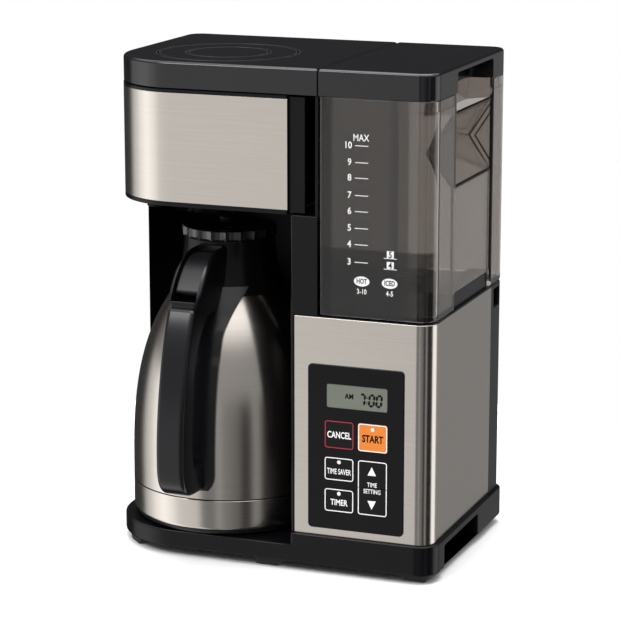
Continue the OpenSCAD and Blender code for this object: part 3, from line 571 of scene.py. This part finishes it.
# Dark floors in the vent slots: painted shade for the slots' dark insides
slot_shade_floors = []
for r in (53.0, 31.0):
    for degrees in (-9, 9, 171, 189):
        a = math.radians(degrees)
        where = (CX + r * math.cos(a), CY + r * math.sin(a), 0)
        for pieces, half, z0, z1 in ((tools, 2.0, TOP - 2.6, TOP + 1),
                                     (slot_shade_floors, 1.9, TOP - 2.4, TOP - 0.5)):
            piece = slab("t", -half, half, -half - 2.2, half + 2.2, z0, z1, 1.4, bottom=0.3)
            move(piece, where, a, "Z")
            pieces.append(piece)
carve(cover, *tools)
settle(cover, "housing", "black_plastic", ["top_cover"], look="cover_black")
settle(join("cover_slot_shade_floors", slot_shade_floors), "housing", "black_plastic", look="painted_shade_black")
# Lighter rims along the ring grooves: painted highlight on the groove edges
ring_highlights = []
for r in (54.0, 51.4, 32.0, 29.4):
    edge = [(r, TOP - 0.3), (r + 0.55, TOP - 0.3), (r + 0.45, TOP + 0.08), (r + 0.1, TOP + 0.08)]
    ring_highlights.append(lathe("p", edge, CX, CY, n=160))
settle(join("cover_ring_highlights", ring_highlights), "housing", "black_plastic", look="ring_edge_highlight")

# ------------------------------------------------------------------ tank lid
lid = slab("tank_lid_shell", 175.4, BODY_W, 0, DEPTH, COVER_Z, TOP, (0.8, 13, 12, 0.8), top=2.4, bottom=0.5)
carve(lid, slab("t", 177.8, BODY_W - WALL, WALL, DEPTH - WALL, COVER_Z - 1, TOP - 3.2, (1, 10.6, 9.6, 1),
                top=1.0))
fuse(lid, slab("t", 242, 262.5, 49, 142, COVER_Z + 0.2, TOP - 2, 1.0),
     block("t", 191, 249, 168.5, 172.5, 364.4, TOP - 2.5),
     rod("t", (*HINGE, 191), 249, 5.4, place=side))
carve(lid, slab("t", 244.4, BODY_W + 4, 51.4, 139.6, COVER_Z - 1, 373.6, (4, 0.5, 0.5, 4), top=2.0),
      block("t", 183.2, 190.8, 166.1, 178, COVER_Z - 1, TOP - 2.4),
      block("t", 249.2, 256.8, 166.1, 178, COVER_Z - 1, TOP - 2.4),
      rod("t", (*HINGE, 178), 262, 1.65, place=side))
settle(lid, "tank_lid", "black_plastic", ["tank_lid"], look="cover_black")

# ------------------------------------------------------------------ water tank
tank = slab("tank_body", 175.8, BODY_W, 0, DEPTH, TANK_Z0, COVER_Z - 0.4, (3, 13, 12, 3), top=0.4, bottom=2.0)
hollow = slab("t", 178.2, BODY_W - WALL, WALL, DEPTH - WALL, TANK_Z0 + 3, 350.2, (1.5, 10.6, 9.6, 1.5),
              bottom=2.0, top=0.6)
fuse(hollow, slab("t", 179.6, BODY_W - WALL - 1.4, WALL + 1.4, DEPTH - WALL - 1.4, 340, COVER_Z + 1,
                  (1.5, 9.4, 8.4, 1.5)))
recess = [(273, 367), (246.4, 367), (242.4, 341), (262, 343.3), (244.4, 313.5),
          (262, 288.9), (262, 209.6), (246.4, 209.6), (246.4, 190), (273, 190)]
carve(hollow, extrude("t", [(u - WALL, v) for u, v in recess], 46.6, 144.4, xz))
carve(tank, hollow, extrude("t", recess, 49, 142, xz))
fuse(tank, *[slab("t", x, x + 6, 167.1, 175.5, 346, 364.4, 0.5) for x in (184, 250)],
     *[rod("t", (*HINGE, x), x + 6, 3.4, place=side) for x in (184, 250)],
     rod("t", (*OUTLET, 186.2), TANK_Z0 + 1, 9.0))
carve(tank, rod("t", (*OUTLET, 188.6), TANK_Z0 + 6, 7.0), rod("t", (*OUTLET, 180), 192, 2.55),
      rod("t", (*HINGE, 180), 262, 1.6, place=side))
settle(tank, "water_tank", "tank_plastic", ["water_tank"], smooth=30)

# Painted shade: thin dark beads for the dark lines that thick clear plastic shows along the edges of the finger
# recess
shade_beads = [extrude("p", arc(261.5, z, 1.4, 0, 345, 23), 49.4, 141.6, xz) for z in (288.9, 343.0)]
shade_beads.append(slab("p", 261.2, 263.8, 140.6, 142.4, 211, 346, 0.6))
for shift, half in ((0.6, 25.5), (5.2, 18.5)):
    tip = 244.4 + shift
    mouth = tip + 17 * half / 26
    bead = [(mouth, 313.8 + half), (tip, 313.8), (mouth, 313.8 - half)]
    shade_beads.append(stroke("p", bead, 0.9, 140.9, 142.3, xz))
settle(join("tank_recess_shade_beads", shade_beads), "water_tank", "tank_plastic", look="tank_edge_shade")

# ------------------------------------------------------------------ tank print
PRINT_BACK, PRINT_FACE = 0.02, 0.1
LEVELS = {"10": 324.4, "9": 312.2, "8": 300.9, "7": 288.2, "6": 276.5, "5": 264.2, "4": 252.2, "3": 239.2}
ICED_LEVELS = (("5", 246.3), ("4", 238.4))
prints = []
for word, z in LEVELS.items():
    prints.append(stroke("p", [(203.8, z), (213.9, z)], 0.55, PRINT_BACK, PRINT_FACE))
    middle = 199.6 if len(word) == 1 else 198.4
    prints.append(text("p", word, middle, z, 4.7, PRINT_BACK, squeeze=0.9, bold=0.13))
prints.append(text("p", "MAX", 208.3, 330.0, 4.8, PRINT_BACK, squeeze=0.82, bold=0.08))
for word, z in ICED_LEVELS:
    prints.append(stroke("p", [(226.2, z - 2.6), (236.0, z - 2.6)], 0.5, PRINT_BACK, PRINT_FACE))
for word, x in (("3-10", 209.3), ("4-5", 230.7)):
    prints.append(text("p", word, x, 217.6, 3.6, PRINT_BACK, bold=0.08))
patches, dark = [], []
for word, z in ICED_LEVELS:
    patches.append(slab("p", 228.4, 233.8, z - 2.6, z + 2.9, PRINT_BACK, PRINT_FACE, 0.2, place=front, n=3))
    dark.append(text("p", word, 231.1, z, 4.6, PRINT_FACE, bold=0.12))
for word, x in (("HOT", 209.3), ("ICED", 230.7)):
    oval = [
        (x + 6 * math.cos(2 * math.pi * i / 48), 225.3 + 3.7 * math.sin(2 * math.pi * i / 48))
        for i in range(48)
    ]
    patches.append(extrude("p", oval, PRINT_BACK, PRINT_FACE, front))
    dark.append(text("p", word, x, 225.3, 3.6, PRINT_FACE, squeeze=0.72, bold=0.12))
settle(join("tank_scale", prints + patches), "water_tank", "tank_plastic", ink="white_ink")
settle(join("tank_scale_words", dark), "water_tank", "tank_plastic", ink="dark_ink")

# ------------------------------------------------------------------ steel wrap
SHEET = 0.8
wrap = slab("wrap_sheet", 156.8, BODY_W, 0, 200, WRAP_Z0, WRAP_Z1, (0.4, 13, 0.4, 0.4),
            top=0.5, bottom=0.5, n=16)
carve(wrap, slab("t", 140, BODY_W - SHEET, SHEET, 210, WRAP_Z0 - 2, WRAP_Z1 + 2, (0.2, 12.2, 0.2, 0.2), n=16),
      block("t", 140, 300, 143.4, 220, 0, 300),
      slab("t", 171, 239.7, 38.4, 157.8, -2, 2, 4, place=front))
settle(wrap, "housing", "brushed_steel", ["steel_wrap"], smooth=25)

# ------------------------------------------------------------------ door panel
def sheet_band(name, offset, x1, y1, z0, z1, r):
    """A bent sheet round the front left corner, its edges rounded a little."""
    edge = 0.35

    def path(d):
        bend = arc(offset + r, offset + r, r - d, 180, 270, 40)
        return [(x1, offset + d), *reversed(bend), (offset + d, y1)]

    rings = []
    for a, b in zip(path(0), path(SHEET)):
        middle = ((a[0] + b[0]) / 2, (a[1] + b[1]) / 2)
        rings.append([(*a, z0 + edge), (*a, z1 - edge), (*middle, z1),
                      (*b, z1 - edge), (*b, z0 + edge), (*middle, z0)])
    return loft(name, rings)


door = sheet_band("door_sheet", 0.4, 151.3, 70, 273.5, 355.3, 58.0)
settle(door, "swing_basket", "brushed_steel", ["door_panel"], smooth=30)

# ------------------------------------------------------------------ moulded housings
soften("base_tray", "housing", 1.2, 3)
soften("front_column", "housing", 0.6, 3)
# The rear housing, whose walls line the bay, takes the painted-shade black for the bay's dark inside
soften("rear_housing", "housing", 0.5, look="painted_shade_black")
back = slab("rear_panel", 10.5, 252, 23.5, 351.9, -DEPTH, -DEPTH + WALL, 1.0, bottom=0.5, place=front)
carve(back, block("t", 174.6, 264, 170, 180, WRAP_Z1, COVER_Z),
      block("t", 154, 264, 170, 180, 0, WRAP_Z0),
      *[slab("t", 60, 120, z, z + 4, -DEPTH - 2, -DEPTH + 4, 1.9, place=front) for z in range(60, 133, 9)],
      rod("t", (210, 48, -DEPTH - 2), -DEPTH + 4, 6.6, place=front))
settle(back, "housing", "dark_plastic", ["rear_cover"])
soften("tank_deck", "housing", 0.3)
soften("lower_housing", "housing", 0.2)
soften("door_shell", "swing_basket", 0.4)
soften("basket_holder", "swing_basket", 0.4)
soften("rubber_feet", "housing", 0.6)

# ------------------------------------------------------------------ control panel
LEFT, RIGHT = (181.2, 204.0), (207.4, 230.2)                      # the key columns in X
ROW_1, ROW_2, ROW_3 = (98, 119.1), (73.5, 91.1), (49.3, 66.9)     # the key rows in Z
KEY_GAP = 0.25
FACE = 1.2
bezel = slab("control_bezel_face", 168, 242.7, 35.4, 160.8, 0, FACE, 3.2, top=0.4, place=front)
fuse(bezel, slab("t", 171.2, 239.5, 38.6, 157.6, -0.8, 0.5, 4, place=front))
holes = ((*LEFT, *ROW_1), (*RIGHT, *ROW_1), (*LEFT, *ROW_2), (*LEFT, *ROW_3), (*RIGHT, ROW_3[0], ROW_2[1]))
carve(bezel, slab("t", 182.7, 230, 128.9, 146.9, -3, 3, 1.5, place=front),
      slab("t", 179.7, 233, 125.9, 149.9, -3, -0.4, 1.5, place=front),
      *[slab("t", x0 - KEY_GAP, x1 + KEY_GAP, z0 - KEY_GAP, z1 + KEY_GAP, -3, 3, 1.85, place=front)
        for x0, x1, z0, z1 in holes])
settle(bezel, "housing", SLOT_OF["control_bezel"], ["control_bezel"])
for key in ("key_start", "key_cancel", "key_saver", "key_timer"):
    soften(key, key, 0.25)
for key, z0, z1, radii in (("key_up", 70.4, ROW_2[1], (0.3, 0.3, 1.6, 1.6)),
                           ("key_down", ROW_3[0], 70.0, (1.6, 1.6, 0.3, 0.3))):
    key_cap = slab(key + "_cap", *RIGHT, z0, z1, -2.1, FACE, radii, top=0.25, place=front)
    fuse(key_cap, block("t", 214.8, 222.8, 2.0, 3.0, (z0 + z1) / 2 - 4, (z0 + z1) / 2 + 4))
    settle(key_cap, key, SLOT_OF[key], [key])

RIM_INSET, RIM_R = 0.5, 1.6
BEND = RIM_INSET + RIM_R
INKED = (FACE, FACE + 0.06)


def rim(x0, x1, z0, z1):
    """The printed line's path just inside a key's edge."""
    return plan(x0 + RIM_INSET, x1 - RIM_INSET, z0 + RIM_INSET, z1 - RIM_INSET, (RIM_R,) * 4, 6)


for name, column, row, width, key, slot, ink in (
    ("cancel_outline", LEFT, ROW_1, 0.75, "key_cancel", "key_black", "red_ink"),
    ("start_outline", RIGHT, ROW_1, 0.75, "key_start", "orange_plastic", "white_ink"),
    ("saver_outline", LEFT, ROW_2, 0.7, "key_saver", "key_black", "white_ink"),
    ("timer_outline", LEFT, ROW_3, 0.7, "key_timer", "key_black", "white_ink"),
):
    settle(stroke(name, rim(*column, *row), width, *INKED, closed=True), key, slot, ink=ink)
up_path = [
    (RIGHT[0] + RIM_INSET, 70.45),
    *reversed(arc(RIGHT[0] + BEND, ROW_2[1] - BEND, RIM_R, 90, 180, 6)),
    *reversed(arc(RIGHT[1] - BEND, ROW_2[1] - BEND, RIM_R, 0, 90, 6)),
    (RIGHT[1] - RIM_INSET, 70.45),
]
down_path = [
    (RIGHT[0] + RIM_INSET, 69.95),
    *arc(RIGHT[0] + BEND, ROW_3[0] + BEND, RIM_R, 180, 270, 6),
    *arc(RIGHT[1] - BEND, ROW_3[0] + BEND, RIM_R, 270, 360, 6),
    (RIGHT[1] - RIM_INSET, 69.95),
]
for name, path, arrow, word, z, squeeze, key in (
    ("up_print", up_path, [(215.0, 80.0), (221.6, 80.0), (218.3, 86.6)], "TIME", 72.7, 0.75, "key_up"),
    ("down_print", down_path, [(215.0, 60.6), (218.3, 54.0), (221.6, 60.6)], "SETTING", 67.6, 0.72, "key_down"),
):
    marks = [stroke("p", path, 0.7, *INKED), extrude("p", arrow, *INKED, front),
             text("p", word, 218.6, z, 3.3, FACE, squeeze=squeeze, bold=0.06)]
    settle(join(name, marks), key, "key_black", ink="white_ink")
for name, word, where, height, squeeze, bold, key, slot, ink in (
    ("cancel_word", "CANCEL", (192.6, 108.2), 4.8, 0.7, 0.14, "key_cancel", "key_black", "white_ink"),
    ("start_word", "START", (218.8, 107.6), 5.2, 0.74, 0.26, "key_start", "orange_plastic", "dark_ink"),
    ("saver_word", "TIME SAVER", (192.6, 80.2), 4.1, 0.6, 0.07, "key_saver", "key_black", "white_ink"),
    ("timer_word", "TIMER", (192.6, 56.4), 4.4, 0.76, 0.12, "key_timer", "key_black", "white_ink"),
):
    settle(text(name, word, *where, height, FACE, squeeze=squeeze, bold=bold), key, slot, ink=ink)
DOME = [(0, 0.0), (1.45, 0.0), (1.45, 0.1), (1.2, 0.28), (0.7, 0.38), (0, 0.42)]
for name, x, z, key in (("start_lamp", 218.8, 115.0, "key_start"), ("saver_lamp", 192.6, 87.6, "key_saver"),
                        ("timer_lamp", 192.6, 63.4, "key_timer")):
    dome = lathe(name, DOME, 0, 0, n=28, closed=False)
    move(dome, (x, -FACE, z), math.pi / 2, "X")
    settle(dome, key, SLOT_OF[key], ink="lamp")

# Display: seven-segment figures behind the window's face
SEGMENTS = {"7": "abc", "0": "abcdef"}
FIGURES = (0.9, 0.96)


def segment_figure(char, x, z):
    """Slanted bars with pointed ends."""
    w, h, thick, lean, gap = 3.6, 8.2, 1.75, 0.1, 0.18
    ends = {"a": ((0, h), (w, h)), "b": ((w, h), (w, h / 2)), "c": ((w, h / 2), (w, 0)),
            "d": ((0, 0), (w, 0)), "e": ((0, h / 2), (0, 0)), "f": ((0, h), (0, h / 2))}
    bars = []
    for key in SEGMENTS[char]:
        (u0, v0), (u1, v1) = ends[key]
        du, dv = u1 - u0, v1 - v0
        length = math.hypot(du, dv)
        du, dv = du / length, dv / length
        u0, v0, u1, v1 = u0 + du * gap, v0 + dv * gap, u1 - du * gap, v1 - dv * gap
        q = thick / 2
        loop = [(u0, v0), (u0 + du * q - dv * q, v0 + dv * q + du * q),
                (u1 - du * q - dv * q, v1 - dv * q + du * q),
                (u1, v1), (u1 - du * q + dv * q, v1 - dv * q - du * q),
                (u0 + du * q + dv * q, v0 + dv * q - du * q)]
        bars.append(extrude("p", [(x + u + lean * v, z + v) for u, v in loop], *FIGURES, front))
    return bars


digits = []
for char, x in (("7", 208.3), ("0", 215.6), ("0", 221.3)):
    digits += segment_figure(char, x, 132.8)
for lean, z in ((0.1, 134.6), (0.4, 138.2)):
    digits.append(slab("p", 213.4 + lean, 214.3 + lean, z, z + 0.9, *FIGURES, 0.2, place=front, n=3))
digits.append(text("p", "AM", 200.4, 138.4, 3.8, FIGURES[0], squeeze=0.85, bold=0.16))
settle(join("display_figures", digits), "housing", "lcd_grey", ink="dark_ink")

# ------------------------------------------------------------------ carafe
shell_side = curve((75.8, 62), (75.8, 120), (69, 161), (42.4, 198.6), 36)
seam = [(75.8, 47.4), (75.45, 47.8), (75.45, 48.2), (75.8, 48.6)]
outer = [(0, 24), (72.8, 24), (74.9, 25.0), (75.8, 27)] + seam + shell_side
inside = [(r - 1, z) for r, z in reversed(shell_side)] + [(74.8, 28), (71.8, 25), (0, 25)]
shell = lathe("carafe_steel", outer + inside, CX, CY, n=192, closed=False)
settle(shell, "carafe", "brushed_steel", ["carafe_shell"], smooth=30)
# A dark ring in the seam's groove: painted shade for the groove's dark line
seam_shade_ring = [(75.3, 47.72), (75.74, 47.72), (75.74, 48.28), (75.3, 48.28)]
settle(lathe("carafe_seam_shade", seam_shade_ring, CX, CY, n=192), "carafe", "brushed_steel", look="painted_shade_black")
foot = [(0, 22), (60, 22), (61, 20.6), (61.6, 20.4), (71.4, 20.4), (72.6, 21), (73.2, 22), (73.4, 24), (0, 24)]
settle(lathe("carafe_foot", foot, CX, CY, closed=False), "carafe", "dark_plastic", ["carafe_base"])
collar_side = curve((43.0, 198.6), (39.5, 209), (35, 222), (34.9, 238.3), 20)
collar_inside = [(34.6, 238.9), (33.2, 238.9), (32.9, 238.4), (32.9, 216),
                 (37.4, 202.6), (38.4, 195.6), (41.2, 195.6), (41.2, 198.6)]
settle(lathe("carafe_neck", collar_side + collar_inside, CX, CY), "carafe", "black_plastic", ["carafe_collar"])
FLUTES, FLUTE_DEPTH = 20, 1.9


def flutes(a, r, z):
    """Scallops round the upper part of the lid's rim."""
    if r < 34 or not 239.8 < z < 246.2:
        return r
    u = (a * FLUTES / (2 * math.pi)) % 1.0
    return r - FLUTE_DEPTH * (1 - (2 * u - 1) ** 2)


cap_profile = [(3.2, 243.6), (12, 243.6), (27, 246.4), (28, 246.8), (34.6, 246.8), (35.6, 246.5),
               (36.2, 245.9), (36.2, 240.2), (35.9, 239.6), (35.0, 239.3), (30.8, 239.3), (30.8, 224),
               (26, 224), (26, 236), (3.2, 236)]
cap = lathe("carafe_cap", cap_profile, CX, CY, n=240, wave=flutes)
settle(cap, "carafe_lid", "black_plastic", ["carafe_lid"], smooth=25, look="cap_black")

# Handle: grip with rounded edges, housing round the lever, strap along the steel
HALF = 11.0
grip_front = (
    curve((-24, 199), (-36, 180), (-49.5, 130), (-49.5, 92), 28)
    + curve((-49.5, 84), (-49.5, 66), (-40, 58), (-24, 58), 16)
)
grip_rear = (
    [(0, 56.6), (0, 78), (-16, 77)]
    + curve((-20, 77.5), (-26, 79), (-28.5, 84), (-28.5, 94), 10)
    + curve((-28.5, 100), (-28.5, 150), (-20, 172), (4, 190), 24)
)
grip = extrude("handle", grip_front + grip_rear + [(-2, 199)], CX - HALF, CX + HALF, side)
round_edges(grip, 3.4, 5, 50)


def along(table, z):
    """The value at z in a table of (z, value), eased between its rows."""
    for (z0, v0), (z1, v1) in zip(table, table[1:]):
        if z <= z1:
            t = max(0.0, (z - z0) / (z1 - z0))
            t = t * t * (3 - 2 * t)
            return v0 + (v1 - v0) * t
    return table[-1][1]


HOOD_HALF = 13.4
hood_outline = (
    [(44, 190), (0, 189), (-14, 194), (-20.5, 197.5), (-21.6, 199.5), (-21.4, 202), (-20.2, 204.6)]
    + curve((-19, 207), (-12, 221), (4, 234.5), (18, 236.4), 20)
    + [(44, 236.8)]
)
hood = extrude("t", hood_outline, CX - HOOD_HALF, CX + HOOD_HALF, side)
round_edges(hood, 3.6, 6, 50)
hood_width = [(190, 0.84), (200, 0.84), (210, 1.0), (222, 1.0), (237, 0.86)]
middle = pt(CX, 0, 0)[0]
for v in hood.data.vertices:
    v.co.x = middle + (v.co.x - middle) * along(hood_width, v.co.z / MM)
strap = []
for i in range(40):
    z = 56 + 150 * i / 39
    r = [p for p in [(75.8, 40)] + shell_side + collar_side if p[1] <= z][-1][0]
    half = 17.5 if z < 172 else 17.5 + 10 * ((z - 172) / 34) ** 1.5
    if z < 66:
        half = 17.5 - 4.5 * ((66 - z) / 10) ** 2
    a = math.asin(min(0.95, half / r))
    lip = 3.0 if 58 < z < 204 else 2.0
    turns = [-a + 2 * a * k / 16 for k in range(17)]
    strap_face = [(CX + (r + lip) * math.sin(t), CY - (r + lip) * math.cos(t), z) for t in turns]
    strap_back = [(CX + (r - 2) * math.sin(-t), CY - (r - 2) * math.cos(-t), z) for t in turns]
    strap.append(strap_face + strap_back)
band = loft("t", strap)
fuse(grip, hood, band)
keep_off = (
    [(0, 30), (75.92, 30), (75.92, 62)]
    + [(r + 0.12, z) for r, z in shell_side[1:] + collar_side]
    + [(35.1, 250), (0, 250)]
)
lever_room = [(30, 238), (12, 242), (-24, 224), (-24, 207), (-19, 202), (-12, 199),
              (0, 206), (14, 220), (30, 223)]
carve(grip, lathe("t", keep_off, CX, CY, n=192, closed=False),
      extrude("t", lever_room, CX - 10.1, CX + 10.1, side),
      rod("t", (*LEVER_PIN, CX - 12), CX + 12, 1.5, place=side))
settle(grip, "carafe", "black_plastic", ["carafe_handle"], smooth=32, look="grip_black")

lever_outline = (
    curve((27, 232), (14, 234), (0, 229), (-13, 210), 20)
    + [(-12.6, 208), (-11.5, 207.2), (-9, 208), (4, 222.5), (18, 226), (27, 227.5)]
)
lever = extrude("lever", lever_outline, CX - 9.5, CX + 9.5, side)
round_edges(lever, 1.3, 4, 40)
carve(lever, rod("t", (*LEVER_PIN, CX - 20), CX + 20, 1.55, place=side))
settle(lever, "thumb_lever", "dark_plastic", ["thumb_lever"])

# ------------------------------------------------------------------ finish of the CAD nodes that stay
for node, obj in frame["nodes"].items():
    if obj.hide_render:
        continue
    if not obj.material_slots:
        obj.data.materials.append(M[SLOT_OF[node]])
    for held in obj.material_slots:
        held.material = M[SLOT_OF[node]]

# ------------------------------------------------------------------ floor and light
bm = bmesh.new()
bmesh.ops.create_circle(bm, cap_ends=True, radius=0.45, segments=128)
floor_mesh = bpy.data.meshes.new("floor")
bm.to_mesh(floor_mesh)
bm.free()
floor = bpy.data.objects.new("floor", floor_mesh)
scene.collection.objects.link(floor)
floor_material = bpy.data.materials.new("floor")
floor_material.use_nodes = True
tree = floor_material.node_tree
shader = tree.nodes["Principled BSDF"]
shader.inputs["Base Color"].default_value = (0.9, 0.9, 0.9, 1)
shader.inputs["Roughness"].default_value = 0.7
floor_mesh.materials.append(floor_material)
floor.visible_glossy = False

world = bpy.data.worlds.new("studio")
scene.world = world
world.use_nodes = True
tree = world.node_tree
tree.nodes.clear()
out = tree.nodes.new("ShaderNodeOutputWorld")
where = tree.nodes.new("ShaderNodeTexCoord")
split = tree.nodes.new("ShaderNodeSeparateXYZ")
tree.links.new(where.outputs["Generated"], split.inputs["Vector"])


def math_node(operation, a, b=None):
    node = tree.nodes.new("ShaderNodeMath")
    node.operation = operation
    for i, value in enumerate((a, b)):
        if value is None:
            continue
        if isinstance(value, (int, float)):
            node.inputs[i].default_value = value
        else:
            tree.links.new(value, node.inputs[i])
    return node.outputs[0]


def ramp(value, stops):
    """Grey levels at positions from 0 to 1."""
    node = tree.nodes.new("ShaderNodeValToRGB")
    node.color_ramp.interpolation = "EASE"
    points = node.color_ramp.elements
    while len(points) > 1:
        points.remove(points[-1])
    points[0].position, points[0].color = stops[0][0], (*[stops[0][1]] * 3, 1)
    for position, level in stops[1:]:
        points.new(position).color = (*[level] * 3, 1)
    tree.links.new(value, node.inputs["Fac"])
    return node.outputs["Color"]


heading = math_node("ARCTAN2", split.outputs["X"], math_node("MULTIPLY", split.outputs["Y"], -1))
share = math_node("ADD", math_node("DIVIDE", heading, 2 * math.pi), 0.5)


def around_ramp(stops):
    """Grey levels at headings in degrees, from -180 to 180 with 0 at the front."""
    return ramp(share, [(0.5 + degrees / 360, level) for degrees, level in stops])


around = around_ramp([
    (-180, 0.04), (-110, 0.04), (-92, 0.9), (-76, 1.5), (-66, 1.8), (-54, 1.5), (-40, 0.98), (-30, 0.95),
    (-17, 0.95), (-12, 0.25), (2, 0.25), (8, 0.55), (14, 0.3), (30, 0.22), (38, 0.03), (44, 0.03),
    (50, 0.4), (55, 0.4), (61, 0.02), (92, 0.03), (102, 1.6), (126, 1.6), (142, 0.36), (180, 0.25),
])
higher_up = around_ramp([(-180, 0.02), (-120, 0.03), (-70, 0.5), (60, 0.4), (110, 0.2), (180, 0.03)])
height = math_node("ADD", math_node("MULTIPLY", split.outputs["Z"], 0.5), 0.5)
low_gate = ramp(height, [(0.0, 1.0), (0.5, 1.0), (0.56, 0.0), (1.0, 0.0)])
top_gate = ramp(height, [(0.0, 0.0), (0.7, 0.0), (0.85, 1.0), (1.0, 1.0)])


def mix(factor, a, b):
    node = tree.nodes.new("ShaderNodeMix")
    node.data_type = "RGBA"
    tree.links.new(factor, node.inputs["Factor"])
    for name, value in (("A", a), ("B", b)):
        if isinstance(value, tuple):
            node.inputs[name].default_value = value
        else:
            tree.links.new(value, node.inputs[name])
    return node.outputs["Result"]


ZENITH = (1.7, 1.7, 1.7, 1)
studio = mix(top_gate, mix(low_gate, higher_up, around), ZENITH)
path = tree.nodes.new("ShaderNodeLightPath")
seen = math_node("MAXIMUM", path.outputs["Is Camera Ray"], path.outputs["Is Transmission Ray"])
light = tree.nodes.new("ShaderNodeBackground")
tree.links.new(mix(seen, studio, (1, 1, 1, 1)), light.inputs["Color"])
tree.links.new(light.outputs["Background"], out.inputs["Surface"])


def area(name, location, target, size, power):
    data = bpy.data.lights.new(name, "AREA")
    data.shape = "DISK"
    data.size = size
    data.energy = power
    obj = bpy.data.objects.new(name, data)
    obj.location = location
    obj.rotation_euler = (Vector(target) - Vector(location)).to_track_quat("-Z", "Y").to_euler()
    scene.collection.objects.link(obj)


area("key", (-0.9, -1.3, 1.7), (0, 0, 0.15), 1.0, 16)
area("overhead", (0.1, 0.1, 1.9), (0, 0, 0), 1.6, 30)
